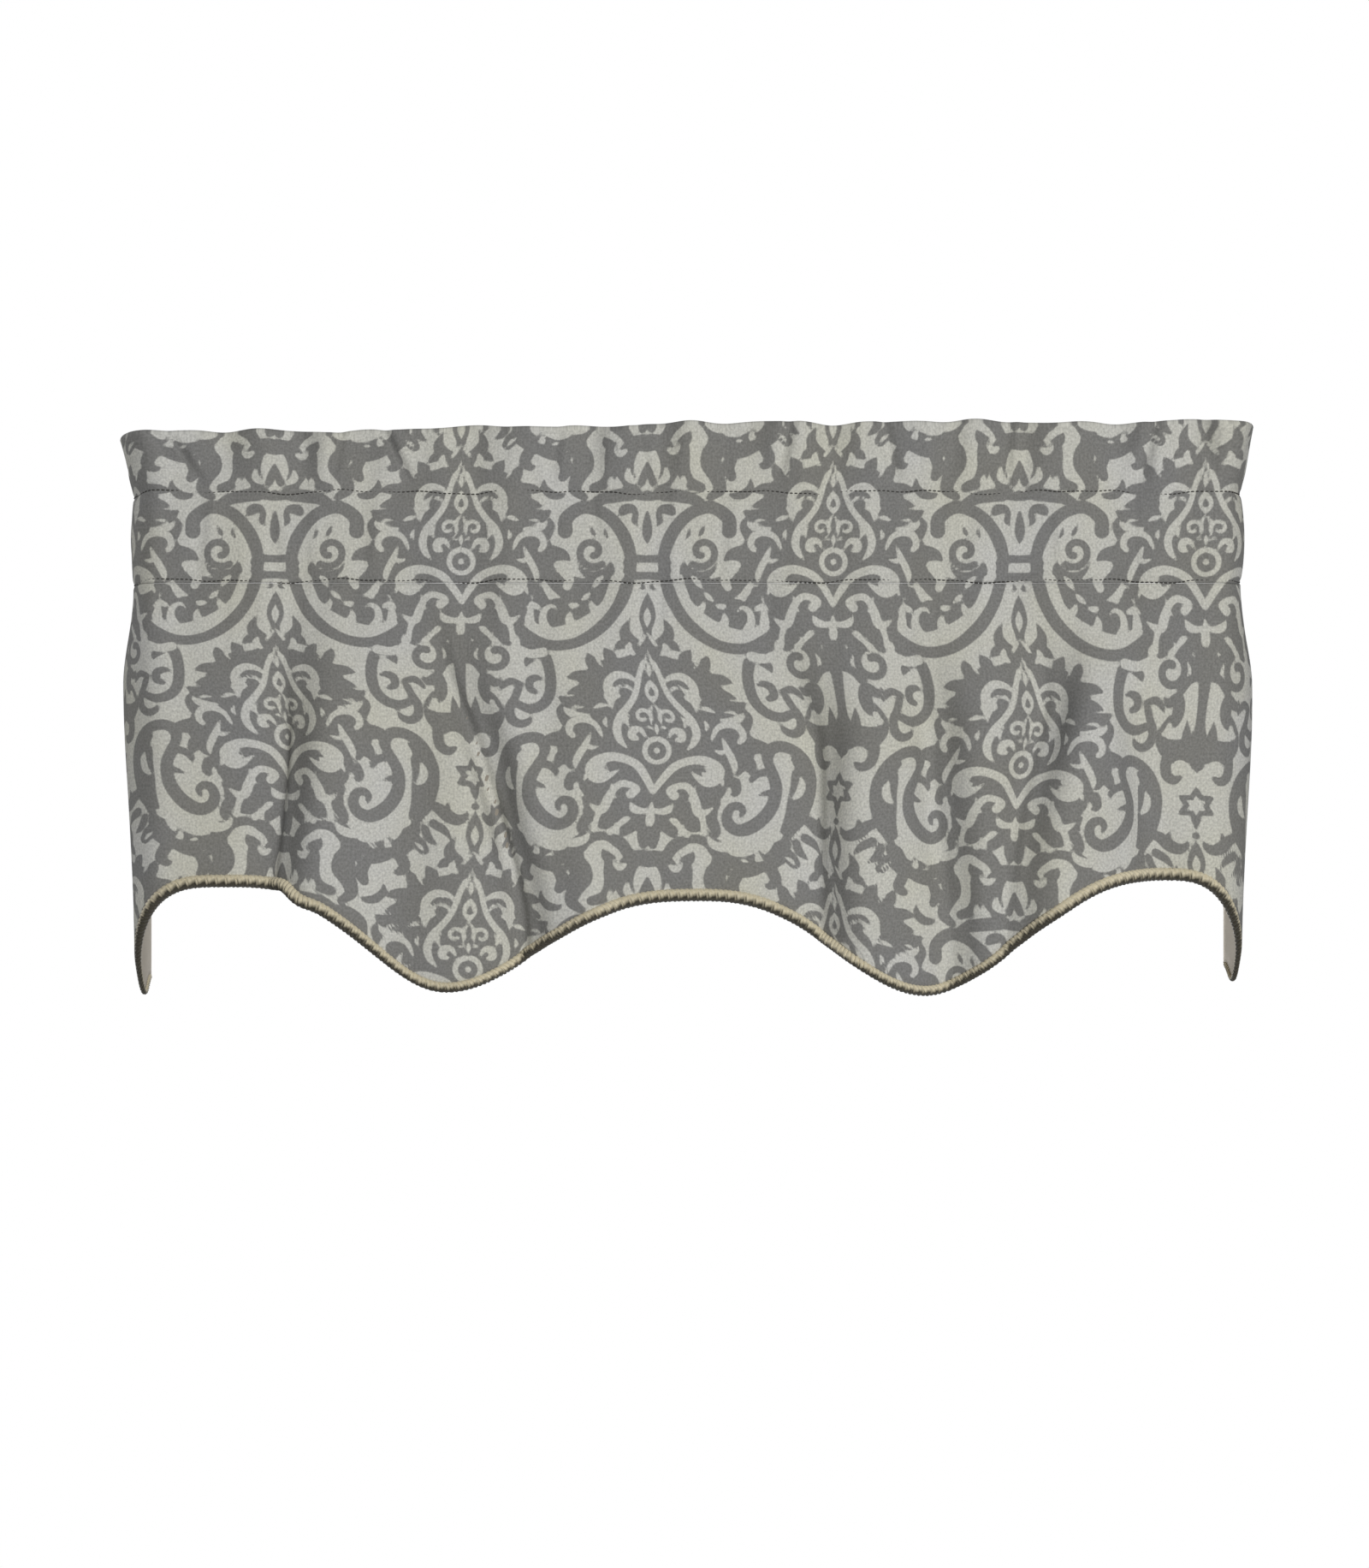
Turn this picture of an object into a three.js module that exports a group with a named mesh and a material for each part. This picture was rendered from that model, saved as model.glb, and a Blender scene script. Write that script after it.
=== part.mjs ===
// A lined scallop valance as it hangs, gathered on a rod that turns back at both ends.
// Millimetres. +X is to the right seen from the front, +Y to the back, +Z up.
// The origin is the middle of the heading's top edge.
//
// Places across the cloth are "flat" positions, measured along the cut cloth from its middle.
// Places along the rod are measured along the rod's centre line, also from its middle.

import * as THREE from "three";

// Cloth and trim
const FLAT_WIDTH = 1270;
const FACE_THICKNESS = 1.5;
const LINING_THICKNESS = 1.2;
const ROPE_DIAMETER = 9;
const PIECE_GAP = 0.3;
const ROPE_GAP = 0.6;

// Centre line of the rod
const ROD_WIDTH = 847;
const RETURN_DEPTH = 92;
const CORNER_RADIUS = 30;

// Heights below the top edge
const HEADING_BOTTOM = -119.5;
const SKIRT_TOP = HEADING_BOTTOM - PIECE_GAP;

// Section of the turned-over heading, bottom to top. "gap" is half the space between its two
// layers, and "sway" is the share of the gathers that the section follows at that height.
const HEADING_SECTION = [
  { z: HEADING_BOTTOM, gap: 0, sway: 1 },
  { z: -116, gap: 0, sway: 1 },
  { z: -108, gap: 6.5, sway: 0.35 },
  { z: -84, gap: 8, sway: 0.2 },
  { z: -59, gap: 6.5, sway: 0.35 },
  { z: -51, gap: 0, sway: 1 },
  { z: -47, gap: 0, sway: 1 },
  { z: -30, gap: 1.4, sway: 1.3 },
  { z: -5, gap: 1.2, sway: 1.7 },
];
const POCKET_BOTTOM_ROW = 1;
const POCKET_TOP_ROW = 5;
const HEADER_BOTTOM_ROW = 6;

// Gathers that the rod pocket pushes into the cloth: small waves of uneven length
const GATHERS = [
  { length: 86, height: 1.4, shift: 0.4 },
  { length: 57, height: 1.2, shift: 1.9 },
  { length: 131, height: 0.9, shift: 3.1 },
];
const GATHER_FADE = 70;

// Waves of the top edge, and the outward lean of the frill at the two corners
const TOP_WAVES = [
  { length: 233, height: 1.2, shift: 0.8 },
  { length: 97, height: 0.8, shift: 2.2 },
];
const CORNER_LEAN = 16;
const CORNER_LEAN_REACH = 60;

// Folds of the skirt. Each is a ridge with its crest at flat position "at" on the hem, moved by "lean"
// at the skirt's top. "left" and "right" are the widths of its two flanks and "rise" is its height.
// It grows between the depths "begin" and "full" below the heading, and "keep" is the share of it
// that is left at the hem. The first is the broad sag of the whole front between its corners, and
// the second and last are the bowed returns.
const FOLDS = [
  { at: 0, lean: 0, left: 470, right: 470, rise: -12, begin: 0, full: 120, keep: 1 },
  { at: -588, lean: 0, left: 47, right: 66, rise: 15, begin: 0, full: 75, keep: 0.15 },
  { at: -361, lean: 37, left: 54, right: 100, rise: 29, begin: 0, full: 130, keep: 0.95 },
  { at: -228, lean: 0, left: 96, right: 56, rise: 17, begin: 10, full: 160, keep: 0.8 },
  { at: -113, lean: -80, left: 46, right: 60, rise: 19, begin: 0, full: 130, keep: 0.8 },
  { at: -76, lean: -48, left: 44, right: 130, rise: 22, begin: 0, full: 130, keep: 0.65 },
  { at: 20, lean: 0, left: 90, right: 90, rise: 6, begin: 80, full: 300, keep: 1 },
  { at: 164, lean: 5, left: 54, right: 88, rise: 30, begin: 0, full: 100, keep: 0.75 },
  { at: 303, lean: -46, left: 48, right: 100, rise: 20, begin: 0, full: 130, keep: 0.9 },
  { at: 362, lean: 34, left: 52, right: 105, rise: 33, begin: 0, full: 120, keep: 0.75 },
  { at: 588, lean: 0, left: 66, right: 47, rise: 15, begin: 0, full: 75, keep: 0.15 },
];
const LEAN_DEPTH = 280;
const HEM_DEPTH = 300;

// Turning points of the scalloped hem: place along the hanging hem, spread to the flat width, and
// height of the cloth's edge
const HEM_POINTS = [
  { at: -635, z: -415.5 },
  { at: -609, z: -428.5 },
  { at: -440, z: -341.5 },
  { at: -230, z: -420.5 },
  { at: 6, z: -351.5 },
  { at: 228, z: -423.5 },
  { at: 460, z: -336.5 },
  { at: 611, z: -416.5 },
  { at: 635, z: -406.5 },
];
const ARCH_BREADTH = 1.35;

// Fineness of the solids
const SKIRT_COLUMNS = 108;
const SKIRT_ROWS = [0, 0.12, 0.28, 0.46, 0.64, 0.82, 1];
const FRONT_STATIONS = 66;
const RETURN_STATIONS = 11;
const ROPE_SIDES = 8;
const PATH_STEP = 2;
const STEEPEST = 0.94;

const HALF_FLAT = FLAT_WIDTH / 2;
const ROD_STRAIGHT = ROD_WIDTH / 2 - CORNER_RADIUS;
const ROD_ARC = (CORNER_RADIUS * Math.PI) / 2;
const HALF_ROD = ROD_STRAIGHT + ROD_ARC + RETURN_DEPTH - CORNER_RADIUS;
const FULLNESS = HALF_FLAT / HALF_ROD;

function smoothStep(from, to, value) {
  return THREE.MathUtils.smoothstep(value, from, to);
}

// One at the middle, falling smoothly to nothing at a distance of one
function softPeak(distance) {
  return Math.abs(distance) < 1 ? 0.5 + 0.5 * Math.cos(Math.PI * distance) : 0;
}

function sumOfWaves(waves, flat) {
  return waves.reduce(
    (sum, wave) => sum + wave.height * Math.sin((2 * Math.PI * flat) / wave.length + wave.shift),
    0,
  );
}

// A place along the rod's centre line in plan, and the direction out of the cloth that hangs there
function rodLine(along) {
  const side = Math.sign(along) || 1;
  const reach = Math.abs(along);
  if (reach <= ROD_STRAIGHT) {
    return { x: along, y: 0, outX: 0, outY: -1 };
  }
  const turn = Math.min((reach - ROD_STRAIGHT) / CORNER_RADIUS, Math.PI / 2);
  const past = Math.max(reach - ROD_STRAIGHT - ROD_ARC, 0);
  return {
    x: side * (ROD_STRAIGHT + CORNER_RADIUS * Math.sin(turn)),
    y: CORNER_RADIUS * (1 - Math.cos(turn)) + past,
    outX: side * Math.sin(turn),
    outY: -Math.cos(turn),
  };
}

// How far the skirt stands out from the rod's centre line
function skirtStand(flat, z) {
  const depth = SKIRT_TOP - z;
  let stand = sumOfWaves(GATHERS, flat) * Math.exp(-depth / GATHER_FADE);
  for (const fold of FOLDS) {
    const faded = (1 - fold.keep) * smoothStep(fold.full, HEM_DEPTH, depth);
    const grown = smoothStep(fold.begin, fold.full, depth) - faded;
    const offset = flat - fold.at - fold.lean * (1 - smoothStep(0, LEAN_DEPTH, depth));
    stand += fold.rise * grown * softPeak(offset / (offset < 0 ? fold.left : fold.right));
  }
  return stand;
}

// Length along the rod that each stretch of cloth takes up at one height: less where it folds
const takeUpAtHeight = new Map();
function takeUp(z) {
  const key = z.toFixed(2);
  if (!takeUpAtHeight.has(key)) {
    const sums = [0];
    for (let flat = -HALF_FLAT; flat < HALF_FLAT; flat += PATH_STEP) {
      const slope = (skirtStand(flat + PATH_STEP, z) - skirtStand(flat, z)) / PATH_STEP;
      const level = Math.min(Math.abs(slope), STEEPEST);
      sums.push(sums.at(-1) + Math.sqrt(1 - level * level));
    }
    takeUpAtHeight.set(key, sums);
  }
  return takeUpAtHeight.get(key);
}

// The place along the rod where a flat position of the skirt hangs at one height
function hangingPlace(flat, z) {
  const sums = takeUp(z);
  const step = THREE.MathUtils.clamp((flat + HALF_FLAT) / PATH_STEP, 0, sums.length - 1.001);
  const low = Math.floor(step);
  const length = THREE.MathUtils.lerp(sums[low], sums[low + 1], step - low);
  return (2 * length / sums.at(-1) - 1) * HALF_ROD;
}

// A point of the hanging skirt before its thickness
function skirtMiddle(flat, z) {
  const place = rodLine(hangingPlace(flat, z));
  const stand = skirtStand(flat, z);
  return new THREE.Vector3(place.x + place.outX * stand, place.y + place.outY * stand, z);
}

// A point of the hanging skirt, moved out of the cloth's own face by "out"
function skirtPoint(flat, z, out) {
  const before = skirtMiddle(flat - PATH_STEP / 2, z);
  const after = skirtMiddle(flat + PATH_STEP / 2, z);
  const along = after.sub(before).normalize();
  return skirtMiddle(flat, z).add(new THREE.Vector3(along.y, -along.x, 0).multiplyScalar(out));
}

// Height of the scallops: broad arches between rounded points
function scallops(spread) {
  const inside = THREE.MathUtils.clamp(spread, -HALF_FLAT, HALF_FLAT);
  const next = Math.max(1, HEM_POINTS.findIndex((point) => point.at >= inside));
  const [a, b] = [HEM_POINTS[next - 1], HEM_POINTS[next]];
  const [arch, point] = a.z > b.z ? [a, b] : [b, a];
  const away = Math.abs(inside - arch.at) / Math.abs(point.at - arch.at);
  const share = Math.cos((Math.PI / 2) * Math.pow(away, ARCH_BREADTH)) ** 2;
  return point.z + (arch.z - point.z) * share;
}

// Height of the hem at a flat position: the scallops are cut to look even once the folds hang
function hemHeight(flat) {
  let z = scallops(flat);
  for (let round = 0; round < 3; round++) {
    z = scallops(FULLNESS * hangingPlace(flat, z));
  }
  return z;
}

// Collects the points and triangles of one closed surface
class Surface {
  coordinates = [];
  triangles = [];

  addPoint(point) {
    this.coordinates.push(point.x, point.y, point.z);
    return this.coordinates.length / 3 - 1;
  }

  addTriangle(a, b, c, turned) {
    this.triangles.push(...(turned ? [a, c, b] : [a, b, c]));
  }

  // Bands between neighbouring columns of points, split the same way whichever side faces out
  addGrid(columns, turned) {
    for (let i = 0; i + 1 < columns.length; i++) {
      for (let j = 0; j + 1 < columns[i].length; j++) {
        this.addTriangle(columns[i][j], columns[i][j + 1], columns[i + 1][j + 1], turned);
        this.addTriangle(columns[i][j], columns[i + 1][j + 1], columns[i + 1][j], turned);
      }
    }
  }

  geometry() {
    const made = new THREE.BufferGeometry();
    made.setAttribute("position", new THREE.Float32BufferAttribute(this.coordinates, 3));
    made.setIndex(this.triangles);
    made.computeVertexNormals();
    return made;
  }
}

// A sheet of the skirt between two distances from the cloth's middle
function skirtSheet(outer, inner) {
  const surface = new Surface();
  const sides = [outer, inner].map((out) =>
    Array.from({ length: SKIRT_COLUMNS + 1 }, (_, i) => {
      const flat = -HALF_FLAT + (FLAT_WIDTH * i) / SKIRT_COLUMNS;
      const hem = hemHeight(flat);
      return SKIRT_ROWS.map((share) =>
        surface.addPoint(skirtPoint(flat, THREE.MathUtils.lerp(SKIRT_TOP, hem, share), out)),
      );
    }),
  );
  const [front, back] = sides;
  surface.addGrid(front, false);
  surface.addGrid(back, true);
  const last = SKIRT_ROWS.length - 1;
  surface.addGrid(front.map((column, i) => [back[i][0], column[0]]), false);
  surface.addGrid(front.map((column, i) => [column[last], back[i][last]]), false);
  surface.addGrid([back[0], front[0]], false);
  surface.addGrid([front.at(-1), back.at(-1)], false);
  return surface.geometry();
}

// The loops that bound the heading's section at one place: its outline, the rod pocket and the
// space inside the frill's fold
function headingLoops(flat) {
  const sway = sumOfWaves(GATHERS, flat);
  const top = sumOfWaves(TOP_WAVES, flat);
  const corner = (ROD_STRAIGHT + ROD_ARC / 2) * FULLNESS;
  const lean = CORNER_LEAN * softPeak((Math.abs(flat) - corner) / CORNER_LEAN_REACH);
  const header = HEADING_SECTION[HEADER_BOTTOM_ROW].z;
  const levels = HEADING_SECTION.map((row) => {
    const raised = Math.max(0, 1 - row.z / header);
    return {
      middle: sway * row.sway + lean * raised,
      gap: row.gap,
      z: row.z + top * raised,
    };
  });
  const crown = levels.at(-1);
  const layer = (row, side, out) => new THREE.Vector2(row.middle + side * (row.gap + out), row.z);
  const front = (rows, out) => rows.map((row) => layer(row, 1, out));
  const back = (rows, out) => rows.map((row) => layer(row, -1, out)).reverse();
  const outline = [
    ...front(levels, FACE_THICKNESS),
    new THREE.Vector2(crown.middle, top),
    ...back(levels, FACE_THICKNESS),
  ];
  const pocket = levels.slice(POCKET_BOTTOM_ROW + 1, POCKET_TOP_ROW);
  const rodPocket = [
    layer(levels[POCKET_BOTTOM_ROW], 1, 0),
    ...front(pocket, 0),
    layer(levels[POCKET_TOP_ROW], 1, 0),
    ...back(pocket, 0),
  ];
  const frill = levels.slice(HEADER_BOTTOM_ROW + 1);
  const frillFold = [
    layer(levels[HEADER_BOTTOM_ROW], 1, 0),
    ...front(frill, 0),
    new THREE.Vector2(crown.middle, top - 2 * FACE_THICKNESS),
    ...back(frill, 0),
  ];
  return [outline, rodPocket, frillFold];
}

// A stretch of the heading between two flat positions, open at both ends
function headingStretch(from, to, stations) {
  const surface = new Surface();
  const flats = Array.from({ length: stations + 1 }, (_, i) => from + ((to - from) * i) / stations);
  const sections = flats.map(headingLoops);
  const columns = sections.map((loops, i) => {
    const place = rodLine(flats[i] / FULLNESS);
    return loops.map((loop) =>
      loop.map((at) =>
        surface.addPoint(
          new THREE.Vector3(place.x + place.outX * at.x, place.y + place.outY * at.x, at.y),
        ),
      ),
    );
  });
  for (let k = 0; k < sections[0].length; k++) {
    surface.addGrid(
      columns.map((loops) => [...loops[k], loops[k][0]]),
      k === 0,
    );
  }
  for (const end of [0, stations]) {
    const [outline, ...holes] = sections[end];
    const indices = columns[end].flat();
    for (const face of THREE.ShapeUtils.triangulateShape(outline, holes)) {
      const [a, b, c] = face.map((index) => indices[index]);
      surface.addTriangle(a, b, c, end !== 0);
    }
  }
  return surface.geometry();
}

// The line of the rope's middle, just under the cloth's edge
class HemLine extends THREE.Curve {
  getPoint(share) {
    const flat = THREE.MathUtils.lerp(-HALF_FLAT, HALF_FLAT, share);
    const slope = (hemHeight(flat + 1) - hemHeight(flat - 1)) / 2;
    const drop = (ROPE_DIAMETER / 2 + ROPE_GAP) / Math.hypot(1, slope);
    const middle = -LINING_THICKNESS / 2;
    return skirtPoint(flat + slope * drop, hemHeight(flat) - drop, middle);
  }

  getPointAt(share) {
    return this.getPoint(share);
  }

  getTangentAt(share) {
    return this.getTangent(share);
  }
}

function ropeGeometry() {
  const section = new THREE.Shape().absarc(0, 0, ROPE_DIAMETER / 2, 0, 2 * Math.PI);
  return new THREE.ExtrudeGeometry(section, {
    steps: SKIRT_COLUMNS,
    curveSegments: ROPE_SIDES / 2,
    extrudePath: new HemLine(),
  });
}

const printedCloth = new THREE.MeshStandardMaterial({ color: "#9b9a96", roughness: 0.9, metalness: 0 });
const liningCloth = new THREE.MeshStandardMaterial({ color: "#c8bfae", roughness: 0.92, metalness: 0 });
const twistedCord = new THREE.MeshStandardMaterial({ color: "#c9bd9f", roughness: 0.7, metalness: 0 });

function piece(name, geometry, material) {
  const mesh = new THREE.Mesh(geometry, material);
  mesh.name = name;
  return mesh;
}

// The heading is parted where its corners begin, so that each stretch of pocket is straight
const cornerStart = ROD_STRAIGHT * FULLNESS;
const cornerPast = (ROD_STRAIGHT + PIECE_GAP) * FULLNESS;

const valance = new THREE.Group();
valance.add(
  piece("heading_front", headingStretch(-cornerStart, cornerStart, FRONT_STATIONS), printedCloth),
  piece("heading_left_return", headingStretch(-HALF_FLAT, -cornerPast, RETURN_STATIONS), printedCloth),
  piece("heading_right_return", headingStretch(cornerPast, HALF_FLAT, RETURN_STATIONS), printedCloth),
  piece("skirt_face", skirtSheet(FACE_THICKNESS, 0), printedCloth),
  piece("skirt_lining", skirtSheet(-PIECE_GAP, -PIECE_GAP - LINING_THICKNESS), liningCloth),
  piece("hem_rope", ropeGeometry(), twistedCord),
);

export default valance;
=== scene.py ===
"""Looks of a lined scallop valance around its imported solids, laid out as an add-on that is never installed.

Sizes in the tables are millimetres in the part's frame: X to the right, Y to the back, Z up, with the
origin in the middle of the heading's top edge. "Flat" places are measured along the cut cloth from its
middle.
"""

import math

import bpy
import numpy as np
from bpy.props import FloatProperty, FloatVectorProperty, PointerProperty
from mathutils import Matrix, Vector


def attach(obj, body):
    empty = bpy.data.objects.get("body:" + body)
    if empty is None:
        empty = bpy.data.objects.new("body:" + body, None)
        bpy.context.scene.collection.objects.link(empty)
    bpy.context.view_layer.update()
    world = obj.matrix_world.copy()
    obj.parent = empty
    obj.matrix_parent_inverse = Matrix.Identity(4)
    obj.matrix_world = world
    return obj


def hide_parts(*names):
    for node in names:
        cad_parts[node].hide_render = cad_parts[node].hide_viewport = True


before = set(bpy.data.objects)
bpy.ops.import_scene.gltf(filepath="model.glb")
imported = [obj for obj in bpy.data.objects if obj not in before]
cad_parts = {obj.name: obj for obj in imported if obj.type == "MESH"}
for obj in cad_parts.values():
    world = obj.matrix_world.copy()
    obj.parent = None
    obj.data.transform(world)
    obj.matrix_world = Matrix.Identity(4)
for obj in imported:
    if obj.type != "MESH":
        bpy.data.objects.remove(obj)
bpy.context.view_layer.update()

bl_info = {
    "name": "Scallop Valance",
    "version": (1, 0, 0),
    "blender": (4, 5, 0),
    "location": "View3D > Sidebar > Valance",
    "description": "Builds a lined scallop valance with a rod pocket, a damask print and a rope hem",
    "category": "Add Mesh",
}

MM = 0.001

# Form of the hanging cloth, as in the part's source
FLAT_WIDTH = 1270.0
HALF_FLAT = FLAT_WIDTH / 2
ROD_WIDTH, RETURN_DEPTH, CORNER_RADIUS = 847.0, 92.0, 30.0
ROD_STRAIGHT = ROD_WIDTH / 2 - CORNER_RADIUS
ROD_ARC = CORNER_RADIUS * math.pi / 2
HALF_ROD = ROD_STRAIGHT + ROD_ARC + RETURN_DEPTH - CORNER_RADIUS
FULLNESS = HALF_FLAT / HALF_ROD
CORNER_FLAT = (ROD_STRAIGHT + ROD_ARC / 2) * FULLNESS
HEADING_BOTTOM, SKIRT_TOP, HEM_DEPTH = -119.5, -119.8, 300.0
GATHER_FADE = 70.0

# Table of hanging places: its spacing along the flat cloth, its heights, and the steepest turn of a fold
PATH_STEP, STEEPEST = 2.0, 0.94
PLACES_TOP, PLACES_BOTTOM, PLACES_ROWS, LAST_CELL = SKIRT_TOP + 2, -444, 110, 1.001

# Waves of the cloth, of its top edge and of the stitch lines: length, height and shift of each
GATHERS = ((86, 1.4, 0.4), (57, 1.2, 1.9), (131, 0.9, 3.1))
FRILL_WAVES = ((118, 1.5, 2.6), (71, 1.3, 0.3), (39, 0.7, 1.2))
TOP_WAVES = ((233, 1.0, 0.8), (97, 0.9, 2.2), (53, 0.5, 0.7))
STITCH_WAVES = ((171, 1.0, 0.5), (83, 0.8, 2.0), (37, 0.35, 1.1))
STITCH_PULLS = ((149, 0.3, 1.0), (61, 0.25, 2.2))

# The rod pocket and the frill over it: heights, half gaps between their layers, and the stitch lines
POCKET_BOTTOM, POCKET_TOP, POCKET_HALF, POCKET_HALF_RETURN = -116.0, -52.5, 2.5, 2.2
POCKET_NARROWS = (440, 500)
HEADER_BOTTOM, FRILL_HALF, FRILL_OPEN = -48.5, 1.3, -32
STITCH_LINES, PINCH_DEPTH, PINCH_REACH = (-50.5, -117.8), 1.0, 3.2

# How much the rod smooths the gathers in the pocket, and the heights over which the frill's own forms grow
POCKET_MIDDLE, POCKET_REACH, POCKET_GATHER, POCKET_POWER = -83.5, 32.5, 0.2, 1.5
FRILL_GATHER, FRILL_GATHERS_GROW, FRILL_WAVES_GROW, FRILL_CREASES_FULL = 0.7, (-47, -5), (-47, -12), 0.5

# The top edge stands lower at its left, and the frill leans out at the left and right corner
TOP_LOW, TOP_HIGH, TOP_TILT = -5.2, 3.0, (-520, 170)
CORNER_LEANS, CORNER_LEAN_REACH = (16.0, 13.0), 60.0

# Creases of the heading, listed one by one: flat place at the foot, lean to the top, half width, height
FRILL_CREASES = (
    (-462, -40, 13, -6.0),
    (-342, 10, 10, -3.4),
    (-262, -30, 10, -5.2),
    (-134, 12, 11, -3.0),
    (-36, -12, 9, -2.6),
    (84, 14, 10, -4.0),
    (202, -14, 9, -3.0),
    (312, 4, 9, 3.4),
    (430, 16, 11, -4.6),
    (505, -10, 10, -3.4),
)
POCKET_CREASES = (
    (-470, 6, 11, -1.8),
    (-392, -10, 12, -2.0),
    (-300, 6, 10, 1.6),
    (-205, 12, 11, -1.7),
    (-82, -8, 10, -1.8),
    (40, 8, 10, 1.6),
    (150, -6, 11, -1.8),
    (262, 10, 10, -1.7),
    (360, -8, 10, 1.8),
    (478, 6, 11, -1.9),
)

# Puckers at the stitch lines: step, least and spread of their flat places, half widths, heights and reaches
PUCKER_SPREADS = ((0.618034, -HALF_FLAT, FLAT_WIDTH), (0.3719, 6, 8), (0.7321, 0.35, 0.75), (0.5437, 7, 16))
PUCKER_DENTS = 3

# Folds of the skirt: flat place of the crest, lean, left flank, right flank, rise, depth where it begins,
# depth where it is full, share kept at the hem
FOLDS = (
    (0, 0, 470, 470, -12, 0, 120, 1),
    (-588, 0, 47, 66, 11, 0, 75, -0.2),
    (-361, 28, 54, 100, 25, 0, 130, 0.95),
    (-228, 0, 96, 56, 17, 10, 160, 0.8),
    (-113, -80, 44, 60, 23, 0, 120, 0.85),
    (-76, -48, 44, 130, 22, 0, 130, 0.65),
    (20, 0, 90, 90, 6, 80, 290, 1),
    (174, -24, 54, 88, 27, 0, 150, 0.85),
    (303, -46, 48, 100, 20, 0, 130, 0.9),
    (362, 34, 52, 105, 33, 0, 120, 0.75),
    (588, 0, 66, 47, 13, 0, 75, 0.0),
)

# Soft creases in the valleys between the folds, with the same columns
CREASES = (
    (-417, 28, 32, 19, -8, 0, 130, 0.7),
    (-163, -80, 26, 16, -9, 0, 110, 0.8),
    (118, -24, 30, 20, -6, 0, 150, 0.7),
    (250, -46, 26, 18, -5, 0, 130, 0.6),
    (306, 34, 26, 16, -6, 0, 120, 0.6),
    (470, -60, 34, 40, -6, 0, 160, 0.5),
)
LEAN_DEPTH = 280.0

# Turning points of the hem: place along the hanging hem, spread to the flat width, and height
HEM_POINTS = (
    (-635, -420.9),
    (-582, -431.2),
    (-440, -341.5),
    (-230, -422.4),
    (6, -352.2),
    (228, -425.4),
    (460, -336.5),
    (585, -421.0),
    (635, -411.0),
)
ARCH_BREADTH, END_BREADTHS = 1.35, (1.9, 1.5)
HEM_KINK, KINK_DEPTH, KINK_REACH = -374.0, -2.6, 10
HEM_ROUNDS = 3

# Surfaces of the sheets, counted out from the middle of the face cloth
FACE_OUT, FACE_IN = 1.5, 0.5
LINING_OUT, LINING_IN = -0.3, -1.2

# Fineness of the sheets: columns across, rows down
FACE_COLUMNS, SKIRT_ROWS, HEADING_ROWS, CROWN_ROWS = 528, 124, 54, 6
LINING_COLUMNS, LINING_ROWS = 264, 62

# The cord: fineness, seat under the hem, place before the cloth's middle on the front and on the returns
ROPE_SAMPLES, ROPE_STEP, ROPE_STRANDS, STRAND_SIDES, ROPE_SOFT = 4000, 1.05, 3, 9, 25
ROPE_SEAT, ROPE_FORWARD, ROPE_FORWARD_RETURN, ROPE_GOES_BACK = 0.72, 1.6, -1.2, (470, 545)
ROPE_CUT, STRAND_SWELL = 1.5, 1.04

# Shares of the cord's thickness: at its cut ends, near the wall, and round the low points of the hem
END_GIRTH, END_GROWS = 0.25, (0, 12)
WALL_GIRTH, WALL_GROWS = 0.52, (55, 150)
LOW_GIRTH, HIGH_GIRTH, HEM_GROWS = 0.84, 1.04, (-420, -345)

# Painted shade on the cord, in shares of its radius: painted dark shade below, a painted middle-tone shade
# behind, and painted shade in the grooves
UNDER_EDGE, BACK_EDGE, BACK_SHADE = (-0.1, 0.06), (0.2, 0.6), 0.4
GROOVE_EDGE, GROOVE_SHADE = (0.55, 0.86), 0.45

# Stitches: places of the first and last from the cloth's ends, and the thread along one stitch
STITCH_FIRST, STITCH_LAST, STITCH_SIDES, STITCH_SINK = 3, 6, 6, 0.1
THREAD_RADIUS = 0.5
STITCH_RISE = np.array([-0.2, 0.12, 0.2, 0.12, -0.2])
STITCH_GIRTH = np.array([0.5, 1, 1, 1, 0.5])

# Grain of the finishes in cells a mm, and the parts of a noise that are spread over their tones
EDGE_GRAIN, FLECK_GRAIN, BLOTCH_GRAIN = (1.1, 1.1, 1), (0.5, 0.5, 1), (0.011, 0.011, 1)
WARP_SLUBS, WEFT_SLUBS = (1.25, 0.045, 1), (0.05, 1.4, 1)
LINING_SLUBS, LINING_BLOTCHES = (0.06, 1.6, 1), (0.015, 0.015, 1)
FIBRE_GRAIN, FLOOR_GRAIN, FINE_DETAIL = (0.35, 5.0, 1), (3, 3, 3), 3.0
WIDE_SPAN, HALF_SPAN, NARROW_SPAN, BLOTCH_SPAN = (0.2, 0.8), (0.25, 0.75), (0.3, 0.7), (0.35, 0.68)
SINE_SPAN = (-1, 1)

# Tones around one, roughness, thread spacings in mm, and bumps as height in metres and strength
EDGE_RAGGED, EDGE_SOFT = 1.1, 0.45
SLUB_TONES, FLECK_TONES, LINING_TONES = (-0.05, 0.05), (0.82, 1.18), (0.95, 1.05)
FIBRE_TONES, TWIST_TONES, FLOOR_TONES = (0.9, 1.08), (0.85, 1.1), (0.99, 1.01)
PRINT_ROUGH, LINING_ROUGH, ROPE_ROUGH, THREAD_ROUGH = (0.9, 0.84), (0.8, 0.9), (0.5, 0.68), (0.6, 0.75)
FACE_THREADS, LINING_THREADS, SLUB_HEIGHT, TWIST_RATE = (0.85, 0.9), (0.6, 0.6), 1.2, 9.0
PRINT_BUMP, LINING_BUMP = (0.00012, 0.5), (0.00008, 0.5)
ROPE_BUMP, THREAD_BUMP = (0.0004, 0.6), (0.0001, 0.5)
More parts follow.
